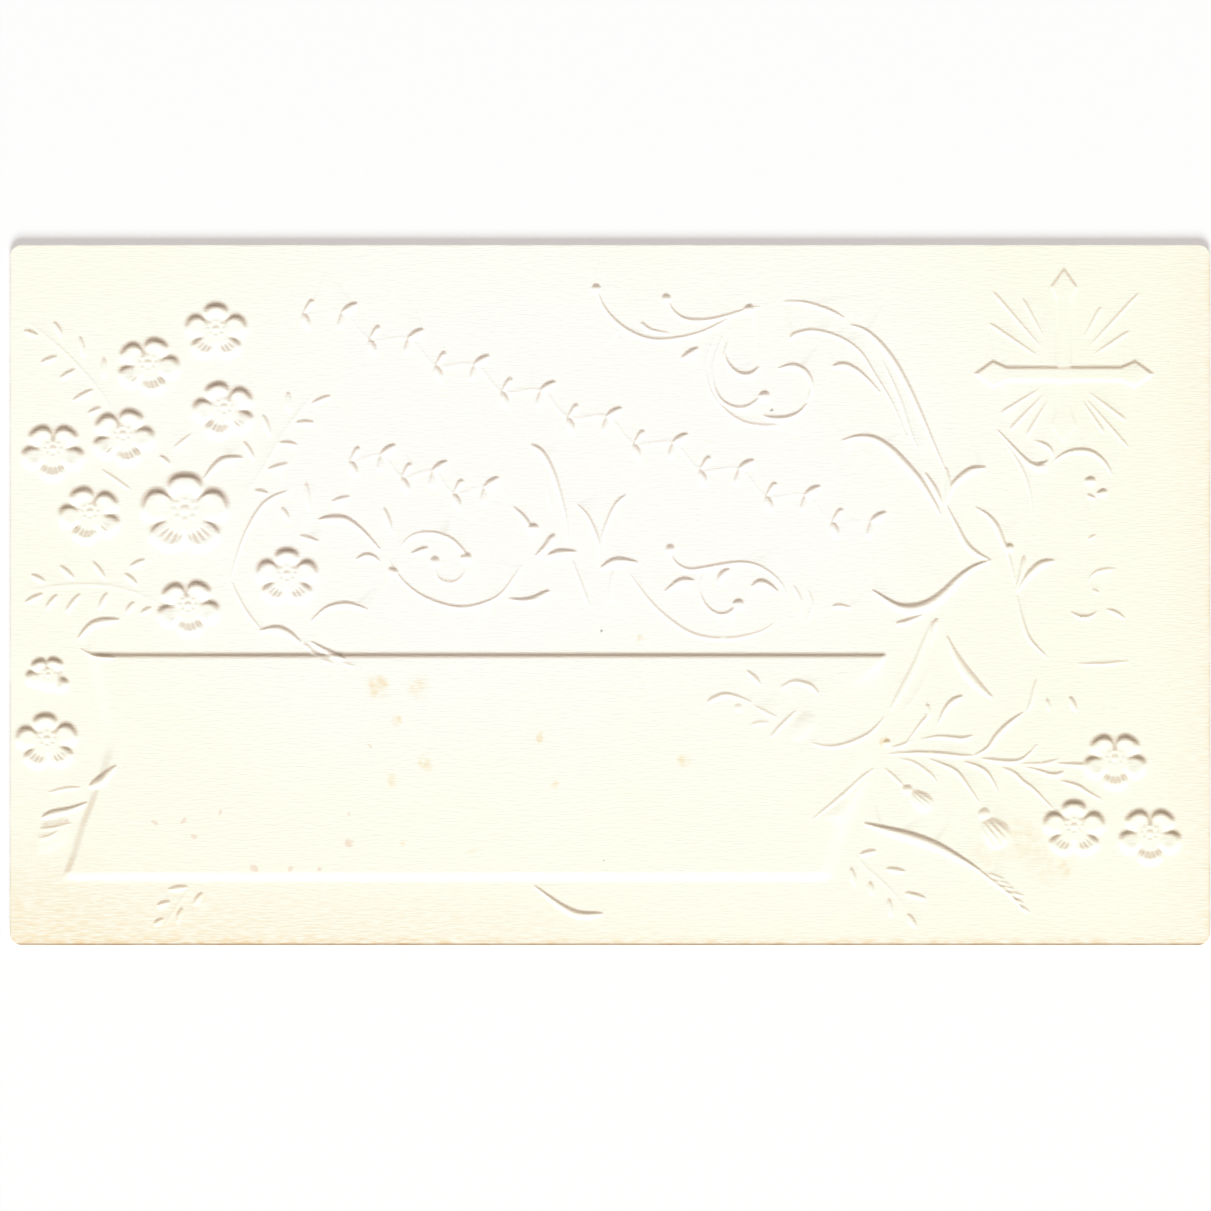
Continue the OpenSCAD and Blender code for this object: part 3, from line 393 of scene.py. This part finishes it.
def smoothLine(points):
    # curve through the drawn points, a few steps to a span
    p = [np.array(q, float) for q in points]
    p = [p[0]] + p + [p[-1]]
    line = []
    for a, b, c, d in zip(p, p[1:], p[2:], p[3:]):
        for s in range(pens["stepsToSpan"]):
            t = s / pens["stepsToSpan"]
            square = (a - 2.5 * b + 2 * c - d / 2) * t * t
            cube = (1.5 * (b - c) + (d - a) / 2) * t * t * t
            line.append(b + (c - a) * t / 2 + square + cube)
    return line + [p[-1]]


def swelling(t, swell):
    # 1 at the widest place, thinner towards both tips
    rising = np.sin(t / swell * math.pi / 2)
    falling = np.cos((t - swell) / (1 - swell) * math.pi / 2)
    return pens["tipShare"] + (1 - pens["tipShare"]) * np.where(t < swell, rising, falling)


def petalLobe(along, aside, across):
    # 1 on the petal, with a short slope at its tip and long ones on its flanks
    width = lobe["width"] + lobe["flare"] * along
    inside = lobe["edge"] - np.sqrt((along / lobe["length"]) ** 2 + (aside / width) ** lobe["power"])
    flank = np.clip(aside / lobe["flank"], 0, 1)
    slope = lobe["slope"] * (1 + lobe["flankSlope"] * flank ** 2)
    return ramp(inside * lobe["length"] * across / 2 / slope, 0, 1) ** lobe["steep"]


def petalRim(along, aside, across):
    width = np.clip(rim["width"] + rim["flare"] * along, rim["narrowest"], 1)
    inside = 1 - np.sqrt((along / rim["length"]) ** 2 + (aside / width) ** rim["power"])
    return ramp(inside * rim["length"] * across / 2 / rim["slope"], 0, 1)


# the blank under the die: each point's place in squares, what the panel lifts it by, and its height in mm
class Blank:
    def __init__(self, across, down):
        self.across = across
        self.down = down
        self.ground = np.zeros(len(across))
        self.lift = np.zeros(len(across))

    def around(self, points, margin):
        p = np.array(points, float)
        low = p.min(0) - margin
        high = p.max(0) + margin
        between = (self.across > low[0]) & (self.across < high[0])
        return np.nonzero(between & (self.down > low[1]) & (self.down < high[1]))[0]

    def raiseTo(self, spots, height):
        # the die is shallower over the panel
        ground = self.ground[spots]
        shallow = 1 - press["shallower"] * ground / namePanel["rise"]
        self.lift[spots] = np.maximum(self.lift[spots], ground + height * shallow)

    def ridge(self, line, width, rise, swell):
        # rounded ridge along a line, widest at swell
        half = width / 2 / sheet["square"]
        spots = self.around(line, half)
        x = self.across[spots]
        y = self.down[spots]
        height = np.zeros(len(spots))
        last = len(line) - 1
        for i in range(last):
            a = line[i]
            run = line[i + 1] - a
            length = max(run.dot(run), tiny)
            t = np.clip(((x - a[0]) * run[0] + (y - a[1]) * run[1]) / length, 0, 1)
            away = np.hypot(x - a[0] - t * run[0], y - a[1] - t * run[1])
            share = swelling((i + t) / last, swell)
            dome = np.clip(1 - (away / (half * share)) ** 2, 0, 1)
            height = np.maximum(height, rise * np.sqrt(share) * dome)
        self.raiseTo(spots, height)

    def stroke(self, pen, swell, points):
        width, rise = pens[pen]
        self.ridge(smoothLine(points), width, rise, swell)

    def strokes(self, drawn):
        for pen, swell, points in drawn:
            self.stroke(pen, swell, points)

    def veins(self, drawn):
        # strokes on top of what is pressed already
        ground = self.ground
        self.ground = self.lift.copy()
        self.strokes(drawn)
        self.ground = ground

    def hatch(self, lines):
        self.veins([("hair", pens["hatchSwell"], ends) for ends in lines])

    def sprig(self, stem, leaflets):
        self.stroke("stem", pens["stemSwell"], stem)
        for ends in leaflets:
            self.stroke("leaflet", pens["leafletSwell"], ends)

    def bosses(self, drawn, ribs=0, share=1):
        for middle, length, width, turn in drawn:
            spots = self.around([middle], length / sheet["square"])
            x = (self.across[spots] - middle[0]) * sheet["square"]
            y = (middle[1] - self.down[spots]) * sheet["square"]
            c = math.cos(math.radians(turn))
            s = math.sin(math.radians(turn))
            along = (x * c + y * s) / (length / 2)
            aside = (y * c - x * s) / (width / 2) / (1 + press["bossTaper"] * np.clip(along, -1, 1))
            rise = (press["bossRise"] + press["bossRiseToWidth"] * width) * share
            furrows = 1 - ribs * np.cos(aside * press["ribTurns"] * math.pi) ** 2
            self.raiseTo(spots, rise * furrows * np.clip(1 - along ** 2 - aside ** 2, 0, 1))

    def flower(self, place, across, petals=blossom["petals"], rise=blossom["rise"]):
        # soft lobes with a crisp rim around each petal, and in the middle a cup with a ring and a button
        middle, turn = place
        reach = across / 2 / sheet["square"]
        spots = self.around([middle], reach * blossom["margin"])
        x = (self.across[spots] - middle[0]) / reach / blossom["spread"]
        y = (middle[1] - self.down[spots]) / reach
        out = np.hypot(x, y)
        lobes = (1 - ramp(out, *lobe["core"])) ** lobe["join"]
        rims = 1 - ramp(out, *rim["core"])
        for petal in petals:
            a = math.radians(turn + petal)
            along = x * math.cos(a) + y * math.sin(a) - lobe["out"]
            aside = np.abs(y * math.cos(a) - x * math.sin(a))
            lobes = lobes + petalLobe(along, aside, across) ** lobe["join"]
            rims = np.maximum(rims, petalRim(along, aside, across))
        lobes = np.minimum(lobes, 1) ** (1 / lobe["join"])
        shape = (1 - rim["share"]) * lobes + rim["share"] * rims
        cup = 1 - heart["cupShare"] * (1 - ramp(out, *heart["cup"]))
        # grooves in the lower petals
        grooves = 0.5 + 0.5 * np.cos(heart["grooves"] * (np.arctan2(y, x) - math.radians(turn)))
        grooves = grooves * ramp(out, *heart["grooveStart"]) * (1 - ramp(out, *heart["grooveEnd"]))
        grooves = grooves * ramp(-y / np.maximum(out, tiny), *heart["grooveSide"])
        fromHeart = np.hypot(x, y - heart["up"])
        button = heart["buttonRise"] * (1 - ramp(fromHeart, *heart["button"]))
        beads = 0.5 + 0.5 * np.cos(heart["beads"] * np.arctan2(y - heart["up"], x))
        ring = 1 - ramp(np.abs(fromHeart - heart["beadRing"]), 0, heart["beadSize"])
        pressed = (rise * cup - heart["grooveDepth"] * grooves) * shape
        self.raiseTo(spots, pressed + button + heart["beadRise"] * beads * ring)

    def garland(self, ends):
        # wavy stem with a leaf and a bud at each crest
        start = np.array(ends[0], float)
        run = np.array(ends[1], float) - start
        ahead = run / np.hypot(*run)
        across = np.array((-ahead[1], ahead[0]))
        waves = ends[2]

        def stemAt(t):
            return start + run * t + across * garlands["sway"] * math.sin(2 * math.pi * waves * t)

        steps = waves * garlands["stepsToWave"]
        self.ridge([stemAt(i / steps) for i in range(steps + 1)], *pens["stem"], garlands["stemSwell"])
        for wave in range(2 * waves):
            up = 1 if wave % 2 == 0 else -1
            root = stemAt((wave + 0.5) / (2 * waves))
            for pen, swell, reach in garlands["twigs"]:
                tip = root + (ahead * reach[0] + across * up * reach[1]) * garlands["leaf"]
                self.stroke(pen, swell, [root, tip])

    def insetOf(self, points, spots):
        # distance inside an outline, in mm
        x = self.across[spots]
        y = self.down[spots]
        inside = np.zeros(len(spots), bool)
        away = np.full(len(spots), 1e6)
        for (ax, ay), (bx, by) in zip(points, points[1:] + points[:1]):
            run = (bx - ax) ** 2 + (by - ay) ** 2
            t = np.clip(((x - ax) * (bx - ax) + (y - ay) * (by - ay)) / run, 0, 1)
            away = np.minimum(away, np.hypot(x - ax - t * (bx - ax), y - ay - t * (by - ay)))
            if ay != by:
                crossed = ((ay > y) != (by > y)) & (x < ax + (y - ay) * (bx - ax) / (by - ay))
                inside ^= crossed
        return np.where(inside, away, -away) * sheet["square"]

    def plateau(self, points, rise, slope):
        spots = self.around(points, 1)
        self.raiseTo(spots, rise * ramp(self.insetOf(points, spots), 0, slope))

    def panel(self):
        # a crisp line along its head, and its upper right side fades into the card
        level, left, right = np.array(namePanel["levels"], float).T
        spots = self.around([(left.min(), level[0]), (right.max(), level[-1])], 1)
        x = self.across[spots]
        y = self.down[spots]
        lower = ramp(y, *namePanel["fadeEnds"])
        upperSide, lowerSide = namePanel["sides"]
        side = upperSide + (lowerSide - upperSide) * lower
        fade = namePanel["fade"] * (1 - lower) + upperSide * lower
        fade = namePanel["core"] + fade * ramp(y, level[0], level[0] + namePanel["fadeHead"])
        fromHead = (y - namePanel["headLine"]) * sheet["square"]
        fromFoot = (level[-1] - y) * sheet["square"]
        fromLeft = (x - np.interp(y, level, left)) * sheet["square"] + namePanel["splay"] * lower
        fromRight = (np.interp(y, level, right) - x) * sheet["square"]
        lift = 0
        for width, share in (("core", namePanel["coreShare"]), ("head", 1 - namePanel["coreShare"])):
            lift = lift + share * ramp(fromHead, -namePanel[width] / 2, namePanel[width] / 2)
        for inset, slope in ((fromFoot, namePanel["foot"]), (fromLeft, side), (fromRight, fade)):
            lift = lift * ramp(inset, 0, slope)
        self.ground[spots] = namePanel["rise"] * lift
        self.lift = np.maximum(self.lift, self.ground)

    def crossBars(self):
        # four bars out from the middle, each with a pointed and flared end
        mx, my = crossSign["middle"]
        bar = crossSign["bar"] / 2
        flare = crossSign["flare"]
        start = -bar - crossSign["slope"] / sheet["square"]
        for turn, length in ((0, "arm"), (90, "head"), (180, "arm"), (270, "foot")):
            reach = crossSign[length]
            neck = reach - crossSign["neckBack"] * flare
            widest = reach - crossSign["flareBack"] * flare
            edge = [(start, bar), (neck, bar), (widest, flare / 2), (reach, 0)]
            outline = edge + [(x, -y) for x, y in edge[-2::-1]]
            c = round(math.cos(math.radians(turn)))
            s = round(math.sin(math.radians(turn)))
            points = [(mx + x * c - y * s, my - x * s - y * c) for x, y in outline]
            self.plateau(points, crossSign[length + "Rise"], crossSign["slope"])
        for angle, near, far in crossSign["rays"]:
            c = math.cos(math.radians(angle))
            s = -math.sin(math.radians(angle))
            ends = [(mx + near * c, my + near * s), (mx + far * c, my + far * s)]
            self.stroke("hair", crossSign["raySwell"], ends)


def pressRelief(blank):
    blank.panel()
    for place in leftSpray["flowers"]:
        blank.flower(place, leftSpray["across"])
    blank.flower(leftSpray["largeFlower"], leftSpray["largeAcross"], rise=leftSpray["largeRise"])
    for name in ("top", "low", "side"):
        blank.sprig(leftSpray[name + "Stem"], leftSpray[name + "Leaflets"])
    blank.strokes(leftSpray["strokes"])
    blank.flower(lowerCorner["flower"], lowerCorner["across"])
    blank.flower(lowerCorner["halfFlower"], lowerCorner["halfAcross"], lowerCorner["halfBloom"])
    blank.sprig(lowerCorner["footStem"], lowerCorner["footLeaflets"])
    blank.strokes(lowerCorner["strokes"])
    blank.bosses([lowerCorner["leaf"]], 0, lowerCorner["leafShare"])
    blank.veins(lowerCorner["veins"])
    blank.strokes(middleScroll["strokes"])
    blank.bosses(middleScroll["knots"])
    blank.garland(garlands["upper"])
    blank.garland(garlands["lower"])
    blank.strokes(topScroll["strokes"])
    blank.bosses(topScroll["knots"])
    blank.strokes(leafTree["strokes"])
    blank.bosses(leafTree["knots"])
    blank.crossBars()
    for place in rightSpray["flowers"]:
        blank.flower(place, rightSpray["across"])
    blank.sprig(rightSpray["tailStem"], rightSpray["tailLeaflets"])
    blank.strokes(rightSpray["strokes"])
    blank.bosses(rightSpray["buds"], rightSpray["budRibs"], rightSpray["budShare"])
    blank.hatch(rightSpray["hatch"])
    blank.strokes(namePanel["strokes"] + [namePanel["leaf"], namePanel["foldLine"]])
    blank.hatch(namePanel["hatch"])
    blank.bosses(namePanel["beads"], 0, namePanel["beadShare"])
    blank.plateau(namePanel["foldedCorner"], *namePanel["foldRise"])


def applied(piece, kind, **settings):
    bpy.context.view_layer.objects.active = piece
    modifier = piece.modifiers.new(kind.lower(), kind)
    for key, value in settings.items():
        setattr(modifier, key, value)
    bpy.ops.object.modifier_apply(modifier=modifier.name)


def addSheet(name):
    # plain sheet of small cells, with its corners rounded
    bpy.ops.object.select_all(action="DESELECT")
    across = round(sheet["length"] / sheet["cell"])
    down = round(sheet["height"] / sheet["cell"])
    bpy.ops.mesh.primitive_grid_add(x_subdivisions=across, y_subdivisions=down, size=1)
    piece = bpy.context.active_object
    piece.name = name
    piece.scale = (sheet["length"] * mm, sheet["height"] * mm, 1)
    bpy.ops.object.transform_apply(location=True, rotation=True, scale=True)
    co = np.zeros(len(piece.data.vertices) * 3)
    piece.data.vertices.foreach_get("co", co)
    co = co.reshape(-1, 3)
    half = np.array((sheet["length"], sheet["height"])) / 2 * mm
    radius = sheet["cornerRadius"] * mm
    past = np.clip((np.abs(co[:, :2]) - half + radius) / radius, 0, None)
    far = np.hypot(past[:, 0], past[:, 1])
    pull = np.where(far > 0, past.max(1) / np.maximum(far, tiny), 1)
    corner = (past > 0).all(1)
    co[corner, :2] = (np.sign(co[:, :2]) * (half - radius + past * radius * pull[:, None]))[corner]
    edge = past.max(1) > 1 - 1e-4  # all points on the rim of the sheet
    inner = piece.vertex_groups.new(name="inner")
    inner.add([int(i) for i in np.nonzero(~edge)[0]], 1, "REPLACE")
    return piece, co


def setPlaces(piece, co):
    piece.data.vertices.foreach_set("co", co.ravel())
    piece.data.update()


def thinned(piece, triangles):
    # flat parts lose their cells, and the edge keeps all of its points so that the two sheets meet
    ratio = triangles / (2 * len(piece.data.polygons))
    applied(piece, "DECIMATE", ratio=ratio, vertex_group="inner", use_collapse_triangulate=True)


def addCard():
    face, co = addSheet("pressed_card")
    blank = Blank((co[:, 0] / mm + sheet["length"] / 2) / sheet["square"],
                  (sheet["height"] / 2 - co[:, 1] / mm) / sheet["square"])
    pressRelief(blank)
    print("relief pressed, highest", round(float(blank.lift.max()), 3), "mm")
    co[:, 2] = (sheet["board"] + blank.lift) * mm
    setPlaces(face, co)
    applied(face, "SMOOTH", factor=sheet["smooth"], iterations=sheet["faceRounds"], use_x=False, use_y=False)
    thinned(face, sheet["faceTriangles"])
    print("face sheet", len(face.data.polygons), "triangles")

    back, co = addSheet("back")
    co[:, 2] = blank.lift * press["backShare"] * mm
    setPlaces(back, co)
    applied(back, "SMOOTH", factor=sheet["smooth"], iterations=sheet["backRounds"], use_x=False, use_y=False)
    thinned(back, sheet["backTriangles"])
    bpy.ops.object.mode_set(mode="EDIT")
    bpy.ops.mesh.select_all(action="SELECT")
    bpy.ops.mesh.flip_normals()
    bpy.ops.object.mode_set(mode="OBJECT")
    print("back sheet", len(back.data.polygons), "triangles")

    bpy.ops.object.select_all(action="DESELECT")
    back.select_set(True)
    face.select_set(True)
    bpy.context.view_layer.objects.active = face
    bpy.ops.object.join()
    bpy.ops.object.mode_set(mode="EDIT")
    bpy.ops.mesh.select_mode(type="EDGE")
    bpy.ops.mesh.select_all(action="DESELECT")
    bpy.ops.mesh.select_non_manifold(extend=False)
    bpy.ops.mesh.bridge_edge_loops()
    bpy.ops.mesh.select_all(action="SELECT")
    bpy.ops.mesh.normals_make_consistent(inside=False)
    bpy.ops.object.mode_set(mode="OBJECT")
    bpy.ops.object.shade_smooth_by_angle(angle=math.radians(sheet["sharpAngle"]))
    applied(face, "WEIGHTED_NORMAL", mode="FACE_AREA", weight=50, keep_sharp=True)
    print("card", len(face.data.polygons), "faces")
    return face


class Wire:
    # a socket that can be added, taken away and multiplied
    def __init__(self, tree, socket=None):
        self.tree = tree
        self.socket = socket

    def make(self, kind, settings, values, out=0):
        node = self.tree.nodes.new(kind)
        for key, value in settings.items():
            setattr(node, key, value)
        for key, value in values.items():
            if isinstance(value, Wire):
                self.tree.links.new(value.socket, node.inputs[key])
            else:
                node.inputs[key].default_value = value
        return Wire(self.tree, node.outputs[out])

    def maths(self, operation, a, b=0.0):
        return self.make("ShaderNodeMath", {"operation": operation}, {0: a, 1: b})

    def __add__(self, other):
        return self.maths("ADD", self, other)

    def __radd__(self, other):
        return self.maths("ADD", other, self)

    def __sub__(self, other):
        return self.maths("SUBTRACT", self, other)

    def __rsub__(self, other):
        return self.maths("SUBTRACT", other, self)

    def __mul__(self, other):
        return self.maths("MULTIPLY", self, other)

    def __rmul__(self, other):
        return self.maths("MULTIPLY", other, self)


def linear(red, green, blue):
    # colour as a colour picker shows it, 0 to 255
    def channel(c):
        c = c / 255
        return c / 12.92 if c <= 0.04045 else ((c + 0.055) / 1.055) ** 2.4
    return (channel(red), channel(green), channel(blue), 1)


# toned edges: from and to in mm from the edge, and strength
# stains: place in squares, radius in mm and strength, and smudges and specks without a strength
paper = {
    "fresh": linear(255, 255, 250), "cream": linear(254, 254, 238), "warm": linear(248, 225, 185),
    "edge": linear(170, 128, 92), "stain": linear(240, 208, 140), "smudge": linear(220, 150, 105),
    # painted shade: a brown multiplier for slopes facing away from the key lamp, and the lean over which it
    # comes in
    "speck": linear(120, 100, 80), "paintedShade": (1, 0.905, 0.845, 1), "paintedShadeLean": (0.02, 0.14),
    "roughness": 0.85, "specular": 0.2, "fibre": (1000, 8000, 2000), "grain": 0.5, "grainHeight": 0.03,
    "whiteMiddle": (-0.08, 0.35), "whiteEnds": (0.3, 1.1), "creamShare": (0.1, 0.85),
    "cloud": 60, "cloudShare": 0.6, "creamRight": (0, 30, 0.3), "creamWarm": 0.02,
    "patch": (0.35, 0.65), "creep": (500, 0.35), "mottle": (1600, 0.2), "grainTone": (0.3, 0.7, 1.9, 0.1),
    "footEdge": (0, 0.8, 0.5), "rightEdge": (0, 0.6, 0.2), "nearEdge": (0, 3, 0.06),
    "rightEnd": (0, 7, 0.08), "foot": (1, 7, 0.2), "footFrom": (-20, 10, 0.15), "corner": (2, 18, 0.1),
    "cornerFrom": (-45, -15, 0), "soiledEdge": (0.02, 0.14, 0.25), "darkFootLine": (0.03, 0.2, 0.7),
    "ragged": 1100, "raggedShift": 1.1, "stainCore": 0.2, "markCore": 0.3,
    "smudgeStrength": 0.3, "speckStrength": 0.7,
    "stains": [
        ((36.8, 44.1), 1.2, 0.5), ((40.8, 44.2), 1.2, 0.35), ((38.6, 47.6), 0.6, 0.5),
        ((53, 49.3), 0.5, 0.6), ((41.5, 51.7), 0.8, 0.5), ((38.2, 53.5), 0.7, 0.4),
        ((54.5, 53.9), 0.5, 0.4), ((67.4, 51.5), 0.6, 0.4), ((63, 39.4), 0.4, 0.6),
        ((39.5, 59.8), 0.4, 0.4), ((46.3, 60.6), 0.5, 0.4), ((87.5, 49.6), 0.5, 0.6),
        ((101, 59.5), 2.6, 0.22), ((104, 62), 2.4, 0.16), ((105.6, 62.3), 0.8, 0.3),
        ((97.5, 61), 1.6, 0.18), ((2.5, 66), 8, 0.1)
    ],
    "smudges": [
        ((17.3, 57.7), 0.3), ((21, 56.8), 0.25), ((14.5, 57.8), 0.22), ((18.5, 59.2), 0.3),
        ((24.3, 62.4), 0.35), ((28, 62.4), 0.3), ((31, 62.5), 0.25), ((34, 56.8), 0.2), ((36, 50), 0.2),
        ((34, 59.8), 0.45)
    ],
    "specks": [((59.1, 38.5), 0.16), ((76.3, 16.5), 0.16), ((59.6, 61.6), 0.1), ((107, 37.4), 0.1)],
}


def paperMaterial():
    material = bpy.data.materials.new("cream paper")
    material.use_nodes = True
    tree = material.node_tree
    shader = tree.nodes["Principled BSDF"]
    shader.inputs["Roughness"].default_value = paper["roughness"]
    shader.inputs["Specular IOR Level"].default_value = paper["specular"]
    w = Wire(tree)
    place = w.make("ShaderNodeTexCoord", {}, {}, "Object")
    x = w.make("ShaderNodeSeparateXYZ", {}, {0: place}, "X")
    y = w.make("ShaderNodeSeparateXYZ", {}, {0: place}, "Y")
    halfLength = sheet["length"] / 2 * mm
    halfHeight = sheet["height"] / 2 * mm
    fromRight = halfLength - x
    fromFoot = y + halfHeight

    def vectors(operation, values, out=0):
        return w.make("ShaderNodeVectorMath", {"operation": operation}, values, out)

    def noise(vector, scale, detail=3.0, out="Fac"):
        return w.make("ShaderNodeTexNoise", {}, {"Vector": vector, "Scale": scale, "Detail": detail}, out)

    def step(value, low, high, start, end):
        return w.make("ShaderNodeMapRange", {"interpolation_type": "SMOOTHSTEP"},
                      {"Value": value, "From Min": low, "From Max": high, "To Min": start, "To Max": end})

    def fading(distance, low, high, strength):
        # strong at low and gone at high
        return step(distance, low * mm, high * mm, strength, 0)

    def leftOf(low, high, least):
        return step(x, low * mm, high * mm, 1, least)

    def patchy(scale, least):
        return step(noise(place, scale), *paper["patch"], least, 1)

    def tinted(colour, towards, share, blend="MIX"):
        mixing = {"data_type": "RGBA", "blend_type": blend}
        return w.make("ShaderNodeMix", mixing, {0: share, 6: colour, 7: towards}, 2)

    # the middle has kept its white
    whiteX, whiteY = paper["whiteMiddle"]
    shares = (1 / halfLength, 1 / halfHeight, 0)
    fromMiddle = vectors("MULTIPLY_ADD", {0: place, 1: shares, 2: (-whiteX, -whiteY, 0)})
    fromMiddle = vectors("LENGTH", {0: fromMiddle}, "Value")
    fromMiddle = fromMiddle + (noise(place, paper["cloud"]) - 0.5) * paper["cloudShare"]
    yellowed = step(fromMiddle, *paper["whiteEnds"], *paper["creamShare"])
    yellowed = yellowed + fading(fromRight, *paper["creamRight"])
    colour = tinted(paper["fresh"], paper["cream"], yellowed)

    # the foot and the right end have toned most, along the fibres
    grain = noise(vectors("MULTIPLY", {0: place, 1: paper["fibre"]}), 1.0)
    creep = patchy(*paper["creep"])
    toned = (fading(fromFoot, *paper["footEdge"]) + fading(fromRight, *paper["rightEdge"])) * creep
    toned = toned + fading(w.maths("MINIMUM", fromRight, fromFoot), *paper["nearEdge"])
    toned = toned + fading(fromRight, *paper["rightEnd"]) + yellowed * paper["creamWarm"]
    toned = toned + fading(fromFoot, *paper["foot"]) * leftOf(*paper["footFrom"])
    toned = toned + fading(fromFoot, *paper["corner"]) * leftOf(*paper["cornerFrom"])
    colour = tinted(colour, paper["warm"], toned * step(grain, *paper["grainTone"]))
    fromEdge = w.maths("MINIMUM", halfLength - w.maths("ABSOLUTE", x), halfHeight - w.maths("ABSOLUTE", y))
    # the edges are soiled in patches, and a thin dark brown line runs along the foot edge
    edgeDarkening = fading(fromEdge, *paper["soiledEdge"]) * creep + fading(fromFoot, *paper["darkFootLine"])
    colour = tinted(colour, paper["edge"], edgeDarkening)

    # painted shade: slopes that lean away from the foot, where the key lamp stands, are darkened brown in
    # the colour
    normal = w.make("ShaderNodeTexCoord", {}, {}, "Normal")
    lean = w.make("ShaderNodeSeparateXYZ", {}, {0: normal}, "Y")
    colour = tinted(colour, paper["paintedShade"], step(lean, *paper["paintedShadeLean"], 0, 1), "MULTIPLY")

    # foxing, with ragged outlines
    ragged = noise(place, paper["ragged"], 4.0, "Color")
    shift = vectors("SUBTRACT", {0: ragged, 1: (0.5, 0.5, 0.5)})
    shift = vectors("SCALE", {0: shift, "Scale": paper["raggedShift"] * mm})
    moved = vectors("ADD", {0: place, 1: shift})
    flat = vectors("MULTIPLY", {0: moved, 1: (1, 1, 0)})

    def spot(squares, core, radius, strength):
        across = squares[0] * sheet["square"] * mm - halfLength
        up = halfHeight - squares[1] * sheet["square"] * mm
        away = vectors("DISTANCE", {0: flat, 1: (across, up, 0)}, "Value")
        return fading(away, core * radius, radius, strength)

    stained = 0
    for squares, radius, strength in paper["stains"]:
        stained = spot(squares, paper["stainCore"], radius, strength) + stained
    colour = tinted(colour, paper["stain"], stained * patchy(*paper["mottle"]))
    for name in ("smudge", "speck"):
        marked = 0
        for squares, radius in paper[name + "s"]:
            marked = spot(squares, paper["markCore"], radius, paper[name + "Strength"]) + marked
        colour = tinted(colour, paper[name], marked)
    tree.links.new(colour.socket, shader.inputs["Base Color"])

    height = {"Height": grain, "Strength": paper["grain"], "Distance": paper["grainHeight"] * mm}
    bump = w.make("ShaderNodeBump", {}, height)
    tree.links.new(bump.socket, shader.inputs["Normal"])
    return material


card = addCard()
card.data.materials.clear()
card.data.materials.append(paperMaterial())
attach(card, "root")
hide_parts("card")
print("card dressed")

studio = {
    "floor": (0.99, 0.99, 0.99, 1), "floorGlow": 0.5, "floorSize": 3, "floorDrop": 0.02,
    "floorRoughness": 0.9,
    "keyPower": 1122, "keySize": 3.6, "keyFrom": (0, -6.8, 4.4), "keyColour": (0.9, 0.97, 1),
    "fill": 0.21, "fillColour": (1, 0.7, 0.54, 1),
    "lens": 400, "sensor": 36, "frameWidth": 90.825, "frameMiddle": (-0.3375, -0.7875), "clip": (0.01, 10),
}


def addStudio():
    bpy.ops.object.select_all(action="DESELECT")
    bpy.ops.mesh.primitive_plane_add(size=studio["floorSize"], location=(0, 0, -studio["floorDrop"] * mm))
    floor = bpy.context.active_object
    floor.name = "floor"
    material = bpy.data.materials.new("pale floor")
    material.use_nodes = True
    shader = material.node_tree.nodes["Principled BSDF"]
    shader.inputs["Base Color"].default_value = studio["floor"]
    shader.inputs["Roughness"].default_value = studio["floorRoughness"]
    shader.inputs["Specular IOR Level"].default_value = 0
    w = Wire(material.node_tree)
    seen = w.make("ShaderNodeLightPath", {}, {}, "Is Camera Ray")
    glow = w.make("ShaderNodeEmission", {}, {"Color": studio["floor"]})
    lit = Wire(material.node_tree, shader.outputs[0])
    pale = w.make("ShaderNodeMixShader", {}, {0: seen * studio["floorGlow"], 1: lit, 2: glow})
    output = material.node_tree.nodes["Material Output"]
    material.node_tree.links.new(pale.socket, output.inputs["Surface"])
    floor.data.materials.append(material)

    world = bpy.data.worlds.new("studio")
    scene.world = world
    world.use_nodes = True
    background = world.node_tree.nodes["Background"]
    background.inputs["Color"].default_value = studio["fillColour"]
    background.inputs["Strength"].default_value = studio["fill"]

    bpy.ops.object.light_add(type="AREA", location=studio["keyFrom"])
    key = bpy.context.active_object
    key.name = "key lamp"
    key.data.energy = studio["keyPower"]
    key.data.color = studio["keyColour"]
    key.data.size = studio["keySize"]
    toFoot, up = studio["keyFrom"][1:]
    key.rotation_euler = (math.atan2(-toFoot, up), 0, 0)

    away = studio["frameWidth"] * mm / studio["sensor"] * studio["lens"]
    across, along = studio["frameMiddle"]
    bpy.ops.object.camera_add(location=(across * mm, along * mm, sheet["board"] * mm + away))
    camera = bpy.context.active_object
    camera.data.lens = studio["lens"]
    camera.data.clip_start, camera.data.clip_end = studio["clip"]
    scene.camera = camera
    print("studio set")


addStudio()
